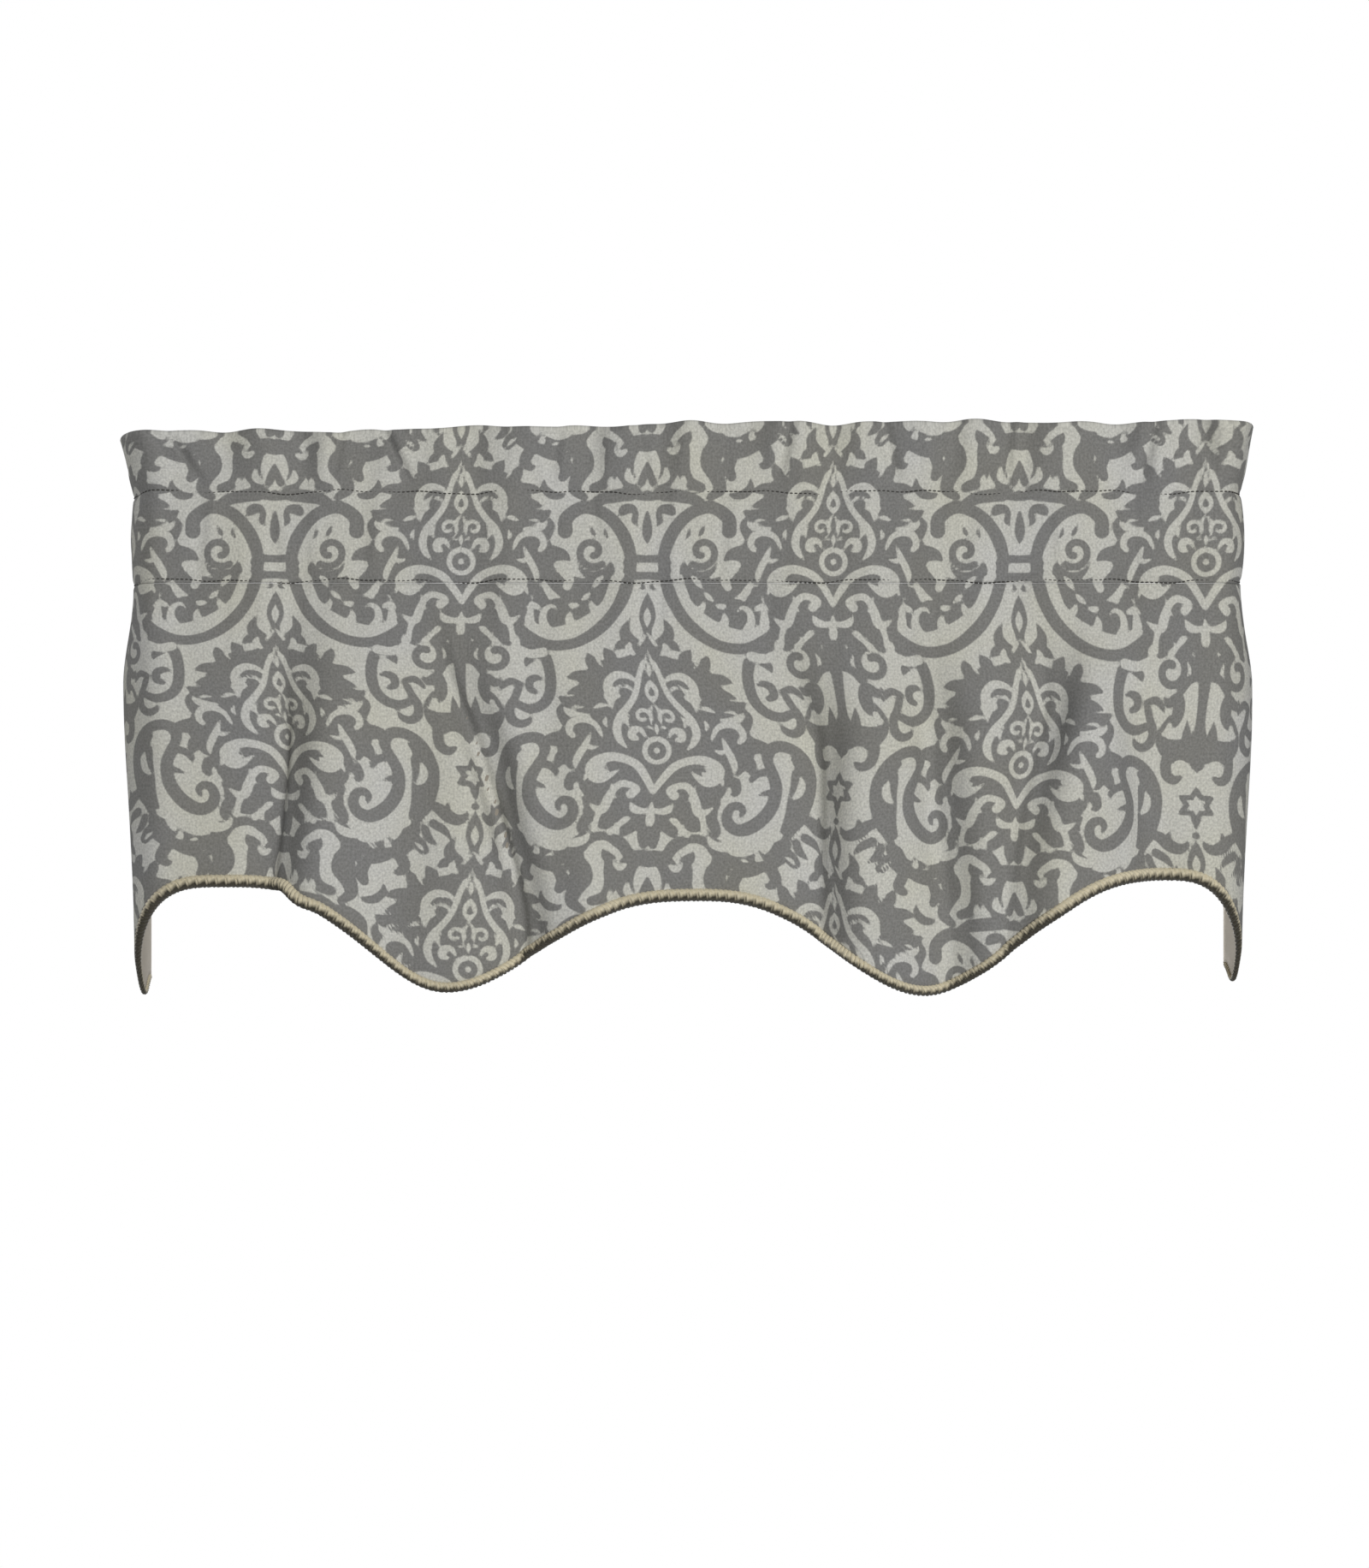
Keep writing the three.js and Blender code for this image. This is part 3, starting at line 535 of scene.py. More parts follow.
# Scrolls between the columns: across from the first column's axis, up from its ring
FIELD = (
    # framed scroll beside the neck of the first column
    ink((61, 166, 5.6), (60, 176, 5.2), (48, 184, 4.8), (33, 180, 4.6), (21.5, 169, 4.8), (14.5, 155, 5),
        (13, 140, 5), (15.5, 124, 4.8), (21, 110, 4.6), (30, 97, 4.6), (42, 87, 4.6), (56, 80.5, 4.6),
        (70, 79, 4.6), (84, 83, 4.4), (95, 91, 4.6), (101, 101, 4.4), (101, 112, 3.6)),
    ink((34, 136, 10), (44, 122, 14), (58, 112, 15), (74, 106, 14), (86, 104, 8)),
    ink((70, 128, 10), (82, 122, 9), (90, 114, 6)),
    ink((52, 148, 3), (49.5, 140, 4.6), (42, 135, 4)),
    bare((24, 131, 2.6), (27, 120, 3), (31, 110, 3.4), (37, 102.5, 3.8), (46, 94, 4), (58, 88, 4.4),
         (72, 87, 4.2), (84, 92.5, 3.4), (91, 101, 2.6), (93.5, 111, 2), (91, 117, 0.8)),
    bare((36, 104, 3.6), (41, 109, 2.4), (42, 113.5, 0.5)),
    bare((55, 92, 4), (58, 99, 3), (57, 105, 0.5)),
    bare((74, 90, 4), (77.5, 98, 3), (76, 106, 2.2), (70.5, 109, 1.4), (67, 106, 0.5)),
    bare((86, 98, 2.4), (87, 105, 2.4), (84, 110.5, 0.5)),
    bare((20.5, 156, 0.6), (19.5, 147, 2.6), (19.5, 139, 3), (18.5, 131, 1.2)),
    bare((31, 171, 0.5), (26, 163.5, 1.6), (23.5, 156, 0.5)),
    bare((20, 127, 1), (23.5, 126, 2.2), (27, 129.5, 0.8)),
    bare((33, 132, 0.8), (37, 128, 2.4), (40.5, 123, 0.6)),
    bare((42, 120, 0.6), (45.5, 116.5, 2), (49, 113.5, 0.6)),
    bare((52, 110, 1.4), (56, 109.5, 2.2), (58.5, 110.5, 0.6)),
    bare((66, 116, 1), (71, 118, 2.6), (76, 123, 3), (78.5, 130, 1.4)),
    bare((60, 124, 3), (58, 130, 3.4), (63, 134, 2), (64, 139, 4.4), (69, 136, 0.5)),
    bare((47, 131, 0.8), (52, 134, 2.4), (56, 140, 4), (56, 150, 3.4), (54.5, 158, 0.8)),
    bare((40, 149, 13.5)),
    bare((34, 158, 5), (34.5, 166, 4.4), (38, 172.5, 3.4), (43, 175.5, 0.6)),
    bare((43, 159, 5), (47, 166, 3.6), (52.5, 169, 0.6)),
    ink(*scroll(41, 150.5, 12, 3, 232, 385, 2.6, 2.7, 26)),
    ink((28.5, 160, 0.5), (31, 164, 1.5), (31, 169, 0.5)),
    ink((42.5, 170, 0.6), (40.5, 165.5, 1.8), (38.5, 162, 0.6)),
    bare((84, 118, 0.8), (88.5, 114, 2.6), (93, 106, 1.6)),
    # neck
    ink((0, 132.5, 2.8), (10, 132.5, 3.2), (14, 136, 4)),
    ink((0, 145, 2.8), (10, 145, 3.2), (14, 142, 4)),
    ink((0, 156.5, 0.4), (0, 163, 3.4), (0, 170, 3.6), (0, 180, 1.4)),
    ink((7.5, 170.5, 0.8), (9.5, 174, 2.4), (8.5, 178.5, 2.2), (11, 183, 3), (17, 182, 4),
        (20, 178, 0.8)),
    ink((0, 193.5, 4.4), (12, 194, 5), (24, 192.5, 5), (34, 190.5, 4.4), (41, 187, 3)),
    ink((4.5, 127, 0.6), (3, 123.5, 1.6), (6.5, 122, 0.5)),
    # upper scroll of the first column
    ink((0, 232, 6.4), (9, 232, 6), (15, 224, 7), (17, 213, 7), (13, 203, 5.4), (12, 196, 5)),
    ink((14, 236, 4.2), (19, 243, 4.6), (29, 247, 4.2), (41, 246, 5), (50, 240, 6.4), (49, 228, 8),
        (47, 216, 7.6), (52, 206, 5.6), (54, 198, 4.6), (47, 192, 3)),
    ink((26, 234, 3.6), (27, 224, 4.8), (27, 212, 4.8), (31, 203, 4.4), (40, 199, 3.6)),
    ink((32, 238, 0.6), (30, 233.5, 3.4), (27, 230, 3.4)),
    bare((26, 241, 1.2), (31, 243, 2), (37.5, 240.5, 3), (42.5, 234, 3), (38.5, 227.5, 3), (36, 219, 3.4),
         (37.5, 211, 3.4), (42, 205.5, 3), (47, 203, 0.6)),
    bare((25, 238, 2.6), (22, 233, 0.5)),
    bare((16, 227, 1.6), (19.5, 225, 2.6), (23, 227, 1.6), (24, 230, 0.5)),
    bare((14, 213, 1.2), (14, 207, 3), (10, 203.5, 2), (8, 202, 0.5)),
    bare((27, 207, 1), (27, 202, 2.6), (24.5, 199.5, 0.8)),
    bare((0, 222.5, 1.6), (5, 221.5, 2.4), (6.5, 215, 2.4), (5, 208, 1.6)),
    ink((0, 217, 1.4), (1.5, 210, 3), (4, 203, 3)),
    bare((0, 205, 0.5), (0, 200.5, 2), (3.5, 197.5, 1.4)),
    bare((0, 186, 2), (5, 187, 2.4), (9, 188.5, 1.4)),
    # strap with slits between the upper scrolls
    ink((52, 232, 7), (63, 228, 8), (75, 230, 8), (86, 238, 7), (96, 246, 5)),
    bare((56, 232.5, 0.5), (60, 228, 2.1), (64, 223.5, 0.5)),
    bare((66, 234, 0.5), (69, 232, 2), (73, 229, 0.5)),
    bare((77.5, 240, 0.6), (78.5, 234, 2.6), (84, 231, 0.6)),
    ink((64, 222, 4), (60, 214, 5), (63, 207, 3.4)),
    ink((88, 226, 4.4), (91, 219, 4.2), (87, 214.5, 2.8), (83.5, 215.5, 0.8)),
    ink((77, 204.5, 1), (76.5, 199, 2.8), (71.5, 194, 3.4), (64.5, 193, 2.4), (61, 195, 0.6)),
    # second column's framed curl
    ink((90, 79, 2.4), (82, 76.5, 4), (75, 69, 4.4), (72, 58, 4.2), (72, 47, 4.2), (74.5, 38, 4),
        (81, 31, 3.8), (90, 28.5, 3.6), (98, 31.5, 3)),
    ink((82, 70, 3), (88, 66.5, 3.2), (90, 62, 0.8)),
    ink((77.5, 51.5, 0.6), (82, 53, 2.4), (87.4, 50.5, 3.2), (88.2, 44.5, 3), (84, 42, 2.2)),
    ink((88.5, 23.5, 0.5), (91, 18.8, 2.4), (97, 16.5, 3.2), (102.6, 20.5, 3.5), (103.4, 29, 3.2),
        (99.5, 37, 2.8), (97, 43, 2.8), (94, 48, 1.2)),
    ink((96, 48, 2.4), (102, 49.5, 2.8), (107, 46, 2.2), (109.5, 42, 0.8)),
    ink((109, 51, 1.4), (112, 47, 2.4), (116, 50, 4), (120, 50, 4.8), (121, 42, 4.8), (118.5, 35, 3.6),
        (113, 33, 1.6)),
    ink((116, 37, 3.4), (112, 30, 3.8), (111, 22, 4), (114.5, 14.5, 3.8), (122, 10, 4)),
    # spiral over it
    ink(*scroll(111.5, 69, 13.5, 4.5, 115, -400, 2.6, 3, 26)),
    ink((103, 80, 3), (113, 83, 2.6), (124, 80, 2.8), (130, 74, 3), (131, 66, 2.6)),
    ink((96, 92, 3.4), (101, 84, 3)),
    bare((91, 91.5, 0.5), (95, 86.5, 1.3), (99.5, 82, 0.5)),
    ink((121, 57, 3.4), (128, 64.5, 3), (138.5, 68, 4)),
    ink((138.5, 72, 5), (138.5, 60, 4.2), (138.5, 46, 3.4), (138.5, 34, 3.6), (138.5, 22, 6)),
    # winged leaf
    ink((138.5, 14, 9), (129, 16, 8), (120, 17.5, 6), (112, 22, 2)),
    ink((130.5, 20, 5), (129.5, 28, 3.2), (129, 37, 0.4)),
    ink((117, 13, 4), (116, 5, 4), (117.5, -3, 3.8), (122.5, -6.5, 3.4), (127, -4, 1.6)),
    ink((138.5, 6, 5), (138.5, 0, 0.6)),
    bare((111, 27, 1), (114.5, 28, 3), (115.5, 33, 2)),
    bare((122, 3, 1.2), (124, 6, 2.2), (128.5, 6, 2.2), (131.5, 1.5, 1.4)),
    # quill in its frame
    ink((80, -9, 3.2), (78.5, -1, 4.2), (82.5, 5.4, 4.4), (90, 6.4, 4.2), (98, 3, 4), (105, -3.5, 3.8),
        (109.5, -12, 3.6), (111.5, -21, 3.6), (111.2, -31, 3.6), (109, -40, 3.8), (105.5, -49, 4),
        (100.5, -59, 4), (95, -69, 3.8), (91, -78, 3.2)),
    ink((98, -3, 3.4), (102, -14, 6), (103, -26, 7.4), (101.5, -37, 7), (98.5, -47, 5.4), (95, -56, 3.6)),
    ink((80.5, -8, 3), (83, -15, 4), (86, -23, 4.2), (86.4, -31, 4.4), (84.5, -40, 4.8), (79, -49, 5),
        (71.5, -55.5, 5.2), (63.5, -58, 4.6), (56.5, -54.5, 4.2), (54, -47.5, 3.8), (56.5, -41, 3.4),
        (61.5, -39.5, 3), (65, -43, 2.4), (64, -47, 1.6)),
    ink((66.5, -26, 0.6), (68.5, -19.5, 2.2), (73.5, -14.5, 2.8), (81, -12.5, 3.2)),
    ink((74.5, -31, 0.5), (78.5, -29.5, 1.8), (84, -28, 2.6)),
    bare((90, -4.5, 1), (93, -6, 2.6), (94.4, -10.5, 2.8), (92.4, -15, 1.4), (92.8, -24, 1.6),
         (93, -34, 1.8), (92, -45, 2.3), (89.5, -55, 3), (86, -64, 3.4), (83, -71, 3), (81.5, -75, 0.8)),
    bare((102.6, -16.5, 0.8), (104, -22, 2.8), (102.6, -28.5, 3), (98.5, -32.5, 1.2)),
    ink((97, -12, 1.2), (97.6, -18, 2), (96.6, -24, 0.6)),
    # below the star
    ink((138.5, -36, 3.4), (138.5, -42.5, 1)),
    ink((138.5, -48, 2.8)),
    ink((107, -47, 3), (114, -50.5, 4.2), (120.5, -56, 4.8), (127, -58.5, 4), (132, -55.5, 2.2),
        (133, -52.5, 0.8)),
    ink((119, -52, 3.2), (121, -45, 0.5)),
    ink((110, -62, 3.4), (117, -66, 3), (122, -72, 1)),
    ink((104, -66, 3), (107, -73, 3), (113, -78, 0.8)),
    bare((100, -64, 0.6), (104.5, -59, 1.5), (108, -53.5, 0.5)),
    # rim under the acanthus, and the foot scroll of the next repeat
    ink((40.5, -60, 2.6), (44, -71.5, 3), (54, -81.5, 3.4), (70, -86, 3.8), (86, -83.5, 4.4),
        (97, -76, 5), (104, -82, 4)),
    bare((97, -77, 0.5), (101, -79.5, 1.4), (104, -83, 0.5)),
)


def smooth_path(points):
    """A soft curve through a stroke's points, with the half width along it."""
    p = np.asarray(points, float)
    if len(p) < 3:
        return p
    ends = np.vstack([2 * p[0] - p[1], p, 2 * p[-1] - p[-2]])
    t = np.linspace(0, 1, STROKE_STEPS + 1)[:-1, None]
    rows = [
        0.5 * (2 * b + (c - a) * t + (2 * a - 5 * b + 4 * c - d) * t**2 + (3 * b - a - 3 * c + d) * t**3)
        for a, b, c, d in zip(ends, ends[1:], ends[2:], ends[3:])
    ]
    path = np.vstack(rows + [p[-1:]])
    path[:, 2] = np.maximum(path[:, 2], STROKE_LEAST)
    return path


def lay(field, where, tone, inside):
    """Lays one tone over part of the print's field, by the distance inside its edge."""
    field[where] = np.maximum(field[where], inside) if tone == INK else np.minimum(field[where], -inside)


def paint(field, across, up, strokes, rise):
    """Lays the strokes over the print's field, one after the other."""
    for tone, points in strokes:
        path = smooth_path(points) + np.array([0, rise, 0])
        margin = path[:, 2].max() + PRINT_REACH
        low, high = path[:, :2].min(0) - margin, path[:, :2].max(0) + margin
        for turn in PRINT_TURNS:
            v = up + turn
            near = np.nonzero((across > low[0]) & (across < high[0]) & (v > low[1]) & (v < high[1]))[0]
            if not len(near):
                continue
            x, y = across[near], v[near]
            inside = path[0, 2] - np.hypot(x - path[0, 0], y - path[0, 1])
            for a, b in zip(path, path[1:]):
                run = b[:2] - a[:2]
                t = np.clip(((x - a[0]) * run[0] + (y - a[1]) * run[1]) / max(run @ run, 1e-9), 0, 1)
                gap = np.hypot(x - a[0] - t * run[0], y - a[1] - t * run[1])
                inside = np.maximum(inside, a[2] + (b[2] - a[2]) * t - gap)
            lay(field, near, tone, inside)


def paint_star(field, across, up):
    for tone, outer, inner in STAR_SIZES:
        for turn in PRINT_TURNS:
            x, y = across - STAR_AT[0], up + turn - STAR_AT[1]
            tip = np.abs((np.arctan2(x, y) * STAR_POINTS / (2 * math.pi)) % 1.0 - 0.5) * 2
            inside = STAR_SOFT * (inner + (outer - inner) * tip**STAR_CURVE - np.hypot(x, y))
            lay(field, slice(None), tone, inside)


def damask(across, up):
    """Positive in the dark of the print and negative in its ground: the distance to the tone's edge."""
    u = np.abs((across + PRINT_HALF) % (2 * PRINT_HALF) - PRINT_HALF)
    v = (up + PRINT_DOWN / 2) % PRINT_DOWN - PRINT_DOWN / 2
    field = np.full(len(u), -PRINT_REACH)
    paint(field, u, v, FIELD, 0)
    paint_star(field, u, v)
    paint(field, u, v, MEDALLION, 0)
    paint(field, PRINT_HALF - u, v, MEDALLION, SECOND_RISE)
    return np.clip(field, -PRINT_REACH, PRINT_REACH)


def print_field(flat, length):
    """The print at flat places of the cloth, "length" up the cloth from the top edge's height."""
    across = (flat.ravel() / FULLNESS - PRINT_X) / PRINT_STRETCH
    sunk = PRINT_SLOPE * across * smooth_step(*PRINT_SINKS, length.ravel())
    return damask(across, length.ravel() - PRINT_Z + sunk)


# Meshes


def grid_faces(columns, rows, first, turned):
    """Quads of a grid of points that are stored column by column."""
    i, j = np.meshgrid(np.arange(columns), np.arange(rows), indexing="ij")
    a = (first + i * (rows + 1) + j).ravel()
    quads = np.stack([a, a + 1, a + rows + 2, a + rows + 1], axis=1)
    return (quads[:, ::-1] if turned else quads).tolist()


def rim_faces(outer, inner, turned):
    """Faces that close two edges of a sheet: one inner step to each two outer steps."""
    faces = []
    for k in range(len(inner) - 1):
        face = [outer[2 * k], outer[2 * k + 1], outer[2 * k + 2], inner[k + 1], inner[k]]
        faces.append(face[::-1] if turned else face)
    return faces


def add_values(mesh, name, values):
    """A number at each point of the mesh, for its material."""
    mesh.attributes.new(name, "FLOAT", "POINT").data.foreach_set("value", values.astype(np.float32))


def place_object(name, data):
    made = bpy.data.objects.new(name, data)
    bpy.context.scene.collection.objects.link(made)
    return made


def mesh_object(name, points, faces, smooth, places):
    """A mesh, smooth on its first faces, with each point's place on the flat cloth in mm."""
    mesh = bpy.data.meshes.new(name)
    mesh.from_pydata((points * MM).tolist(), [], faces)
    shade = np.zeros(len(mesh.polygons), bool)
    shade[:smooth] = True
    mesh.polygons.foreach_set("use_smooth", shade)
    flat = np.zeros((len(points), 3), np.float32)
    flat[:, :2] = places
    mesh.attributes.new("cloth_mm", "FLOAT_VECTOR", "POINT").data.foreach_set("vector", flat.ravel())
    mesh.update()
    return place_object(name, mesh)


def sheet_object(name, outer, inner, cloth, field=None):
    """A closed sheet between a fine outer grid and an inner grid of half its fineness."""
    (oc, orow), (ic, irow) = outer.shape[:2], inner.shape[:2]
    first = oc * orow
    points = np.concatenate([outer.reshape(-1, 3), inner.reshape(-1, 3)])
    o = np.arange(first).reshape(oc, orow)
    n = first + np.arange(ic * irow).reshape(ic, irow)
    faces = grid_faces(oc - 1, orow - 1, 0, False) + grid_faces(ic - 1, irow - 1, first, True)
    smooth = len(faces)
    faces += rim_faces(o[:, 0], n[:, 0], False) + rim_faces(o[:, -1], n[:, -1], True)
    faces += rim_faces(o[0, :], n[0, :], True) + rim_faces(o[-1, :], n[-1, :], False)
    places = np.concatenate([cloth.reshape(-1, 2), cloth[::2, ::2].reshape(-1, 2)])
    made = mesh_object(name, points, faces, smooth, places)
    if field is not None:
        add_values(made.data, "print", np.concatenate([field.ravel(), np.full(ic * irow, -PRINT_REACH)]))
    return made


def skirt_sheet(name, columns, rows, out, inside, printed):
    """A sheet of the skirt between two of its surfaces, and the area that it was cut to."""
    flat, z, outer = skirt_grid(columns, rows, out)
    inner = skirt_grid(columns // 2, rows // 2, inside)[2]
    field = print_field(flat, z) if printed else None
    made = sheet_object(name, outer, inner, np.stack([flat, z], axis=-1), field)
    return made, float(np.mean(SKIRT_TOP - hem_height(flat[:, 0]))) * MM * FLAT_WIDTH * MM


def tubes(paths, radii, sides):
    """Points and faces of closed tubes along (points, normals) pairs, with each point's step and side."""
    points, faces, steps_of = [], [], []
    for (path, normal), radius in zip(paths, radii):
        tangent = unit(np.gradient(path, axis=0))
        normal = square_to(normal, tangent)
        across = np.cross(tangent, normal)
        base, steps = sum(len(p) for p in points), len(path)
        turn = np.arange(sides) * 2 * math.pi / sides
        ring = (np.cos(turn)[None, :, None] * normal[:, None, :]
                + np.sin(turn)[None, :, None] * across[:, None, :])
        points.append((path[:, None, :] + ring * np.reshape(radius, (-1, 1, 1))).reshape(-1, 3))
        steps_of.append(np.repeat(np.arange(steps), sides))
        i, j = np.meshgrid(np.arange(steps - 1), np.arange(sides), indexing="ij")
        a, b = base + i * sides + j, base + i * sides + (j + 1) % sides
        faces += np.stack([a, b, b + sides, a + sides], axis=-1).reshape(-1, 4).tolist()
        faces.append(list(range(base + sides - 1, base - 1, -1)))
        last = base + (steps - 1) * sides
        faces.append(list(range(last, last + sides)))
    points = np.concatenate(points)
    return points, faces, np.concatenate(steps_of), np.tile(np.arange(sides), len(points) // sides)


# Materials


class Nodes:
    """A material's node tree with short ways to add and join nodes."""

    def __init__(self, name):
        self.material = bpy.data.materials.new(name)
        self.material.use_nodes = True
        self.tree = self.material.node_tree
        self.shader = self.tree.nodes["Principled BSDF"]

    def add(self, kind, inputs=None, **settings):
        node = self.tree.nodes.new(kind)
        for key, value in settings.items():
            setattr(node, key, value)
        for key, value in (inputs or {}).items():
            self.put(node.inputs[key], value)
        return node

    def put(self, socket, value):
        if isinstance(value, bpy.types.NodeSocket):
            self.tree.links.new(value, socket)
        else:
            socket.default_value = value

    def finish(self, surface):
        """Joins or sets the shader's sockets, and gives the material."""
        for key, value in surface.items():
            self.put(self.shader.inputs[key], value)
        return self.material

    def attribute(self, name, output="Fac"):
        return self.add("ShaderNodeAttribute", attribute_name=name).outputs[output]

    def math(self, operation, a, b=0.0, c=0.0):
        return self.add("ShaderNodeMath", {0: a, 1: b, 2: c}, operation=operation).outputs[0]

    def mix(self, share, a, b):
        """Colour a, turned to colour b by a share, through the node's own colour sockets."""
        node = self.add("ShaderNodeMix", data_type="RGBA")
        for key, value in ((0, share), (6, a), (7, b)):
            self.put(node.inputs[key], value)
        return node.outputs[2]

    def ramp(self, value, low, high, to_low=0.0, to_high=1.0):
        inputs = {0: value, 1: low, 2: high, 3: to_low, 4: to_high}
        return self.add("ShaderNodeMapRange", inputs).outputs[0]

    def noise(self, vector, stretch, detail=2.0):
        moved = self.add("ShaderNodeMapping", {"Vector": vector, "Scale": stretch})
        inputs = {"Vector": moved.outputs[0], "Scale": 1.0, "Detail": detail}
        return self.add("ShaderNodeTexNoise", inputs).outputs["Fac"]

    def bump(self, height, distance, strength):
        inputs = {"Height": height, "Distance": distance, "Strength": strength}
        return self.add("ShaderNodeBump", inputs).outputs[0]

    def brightness(self, colour, share):
        """The colour, lighter or darker by a share around one."""
        return self.add("ShaderNodeHueSaturation", {"Color": colour, "Value": share}).outputs[0]

    def cloth_place(self):
        """The place on the flat cloth in mm, as a vector and its two parts."""
        vector = self.attribute("cloth_mm", "Vector")
        parts = self.add("ShaderNodeSeparateXYZ", {0: vector})
        return vector, parts.outputs[0], parts.outputs[1]

    def weave(self, across, down, threads):
        """Height of a plain weave with the given thread spacings in mm."""
        waves = [self.math("SINE", self.math("MULTIPLY", place, 2 * math.pi / spacing))
                 for place, spacing in zip((across, down), threads)]
        return self.math("MULTIPLY", *waves)


def printed_cloth(colours):
    nodes = Nodes("printed_cloth")
    vector, across, down = nodes.cloth_place()
    ragged = nodes.math("MULTIPLY_ADD", nodes.noise(vector, EDGE_GRAIN), EDGE_RAGGED, -EDGE_RAGGED / 2)
    dark = nodes.ramp(nodes.math("ADD", nodes.attribute("print"), ragged), -EDGE_SOFT, EDGE_SOFT)
    slubs = [nodes.noise(vector, grain, FINE_DETAIL) for grain in (WARP_SLUBS, WEFT_SLUBS)]
    blotch = nodes.ramp(nodes.noise(vector, BLOTCH_GRAIN, FINE_DETAIL), *BLOTCH_SPAN)
    colour = nodes.mix(dark, nodes.mix(blotch, colours.ground, colours.ground_warm),
                       nodes.mix(blotch, colours.ink, colours.ink_warm))
    slub = nodes.math("ADD", *(nodes.ramp(noise, *HALF_SPAN, *SLUB_TONES) for noise in slubs))
    fleck = nodes.ramp(nodes.noise(vector, FLECK_GRAIN), *NARROW_SPAN, *FLECK_TONES)
    weave = nodes.weave(across, down, FACE_THREADS)
    height = nodes.math("MULTIPLY_ADD", nodes.math("ADD", *slubs), SLUB_HEIGHT, weave)
    return nodes.finish({
        "Base Color": nodes.brightness(colour, nodes.math("ADD", slub, fleck)),
        "Normal": nodes.bump(height, *PRINT_BUMP),
        "Roughness": nodes.ramp(dark, 0, 1, *PRINT_ROUGH),
        "Specular IOR Level": 0.2,
        "Sheen Weight": 0.08,
    })


def lining_cloth(colours):
    nodes = Nodes("lining_cloth")
    vector, across, down = nodes.cloth_place()
    slub = nodes.noise(vector, LINING_SLUBS, FINE_DETAIL)
    blotch = nodes.ramp(nodes.noise(vector, LINING_BLOTCHES), *NARROW_SPAN)
    colour = nodes.mix(blotch, colours.lining, colours.lining_dark)
    height = nodes.math("ADD", slub, nodes.weave(across, down, LINING_THREADS))
    return nodes.finish({
        "Base Color": nodes.brightness(colour, nodes.ramp(slub, *HALF_SPAN, *LINING_TONES)),
        "Normal": nodes.bump(height, *LINING_BUMP),
        "Roughness": nodes.ramp(slub, *WIDE_SPAN, *LINING_ROUGH),
        "Specular IOR Level": 0.25,
    })


def rope_cord(colours):
    nodes = Nodes("rope_cord")
    fibre = nodes.noise(nodes.attribute("cloth_mm", "Vector"), FIBRE_GRAIN, FINE_DETAIL)
    colour = nodes.mix(nodes.ramp(fibre, *NARROW_SPAN), colours.rope, colours.rope_warm)
    # Painted shade: the cord's colour turns to the dark olive in the grooves between strands, below its
    # middle and on its back
    painted_groove_shade = nodes.math("MULTIPLY", nodes.attribute("painted_groove_shade"), GROOVE_SHADE)
    for shade in (painted_groove_shade, nodes.attribute("under")):
        colour = nodes.mix(shade, colour, colours.rope_painted_shade)
    return nodes.finish({
        "Base Color": nodes.brightness(colour, nodes.ramp(fibre, *HALF_SPAN, *FIBRE_TONES)),
        "Normal": nodes.bump(fibre, *ROPE_BUMP),
        "Roughness": nodes.ramp(fibre, *WIDE_SPAN, *ROPE_ROUGH),
        "Specular IOR Level": 0.35,
        "Sheen Weight": 0.15,
    })


def sewing_thread(colours):
    nodes = Nodes("sewing_thread")
    vector, along, around = nodes.cloth_place()
    twist = nodes.math("SINE", nodes.math("MULTIPLY", nodes.math("ADD", along, around), TWIST_RATE))
    return nodes.finish({
        "Base Color": nodes.brightness(colours.thread, nodes.ramp(twist, *SINE_SPAN, *TWIST_TONES)),
        "Normal": nodes.bump(twist, *THREAD_BUMP),
        "Roughness": nodes.ramp(twist, *SINE_SPAN, *THREAD_ROUGH),
    })


def floor_paint(colours):
    """Pale paint that thins out towards the floor's rim, with a painted glow that makes it look paler and
    lights the valance a little from below.
    """
    nodes = Nodes("floor_paint")
    place = nodes.add("ShaderNodeTexCoord").outputs["Object"]
    grain = nodes.ramp(nodes.noise(place, FLOOR_GRAIN), *NARROW_SPAN, *FLOOR_TONES)
    far = nodes.add("ShaderNodeVectorMath", {0: place}, operation="LENGTH").outputs["Value"]
    return nodes.finish({
        "Base Color": nodes.brightness(colours.floor, grain),
        "Alpha": nodes.ramp(far, FLOOR_PLAIN, FLOOR_RADIUS, 1, 0),
        "Roughness": 0.95,
        "Specular IOR Level": 0.1,
        "Emission Color": colours.floor,
        "Emission Strength": FLOOR_GLOW,
    })


# Settings shown in the sidebar


def colour_setting(label, about, *tone):
    return FloatVectorProperty(name=label, description=about, default=(*tone, 1), size=4, min=0, max=1,
                               subtype="COLOR")


def size_setting(label, about, default, low, high):
    return FloatProperty(name=label, description=about, default=default, min=low, max=high, unit="LENGTH")


class ValanceColours(bpy.types.PropertyGroup):
    """Colours of the cloth, cord and floor."""

    ground: colour_setting("Ground", "Cream ground of the print", 0.65, 0.645, 0.605)
    ground_warm: colour_setting("Warm ground", "Ground where the cloth is yellower", 0.645, 0.635, 0.545)
    ink: colour_setting("Ink", "Grey of the print", 0.25, 0.248, 0.24)
    ink_warm: colour_setting("Warm ink", "Grey where the cloth is yellower", 0.25, 0.245, 0.222)
    lining: colour_setting("Lining", "Beige lining", 0.37, 0.332, 0.274)
    lining_dark: colour_setting("Dark lining", "Darker patches of the lining", 0.325, 0.292, 0.242)
    rope: colour_setting("Rope", "Cream cord", 0.86, 0.79, 0.59)
    rope_warm: colour_setting("Warm rope", "Yellower fibres of the cord", 0.78, 0.68, 0.46)
    # Painted shade: this dark olive is mixed into the cord's colour in its grooves, below its middle and, at
    # a lesser share, on its back
    rope_painted_shade: colour_setting("Dark rope", "Olive of the cord's grooves and underside", 0.05, 0.043, 0.027)
    thread: colour_setting("Thread", "Sewing thread", 0.06, 0.057, 0.05)
    floor: colour_setting("Floor", "Pale floor", 0.86, 0.86, 0.86)


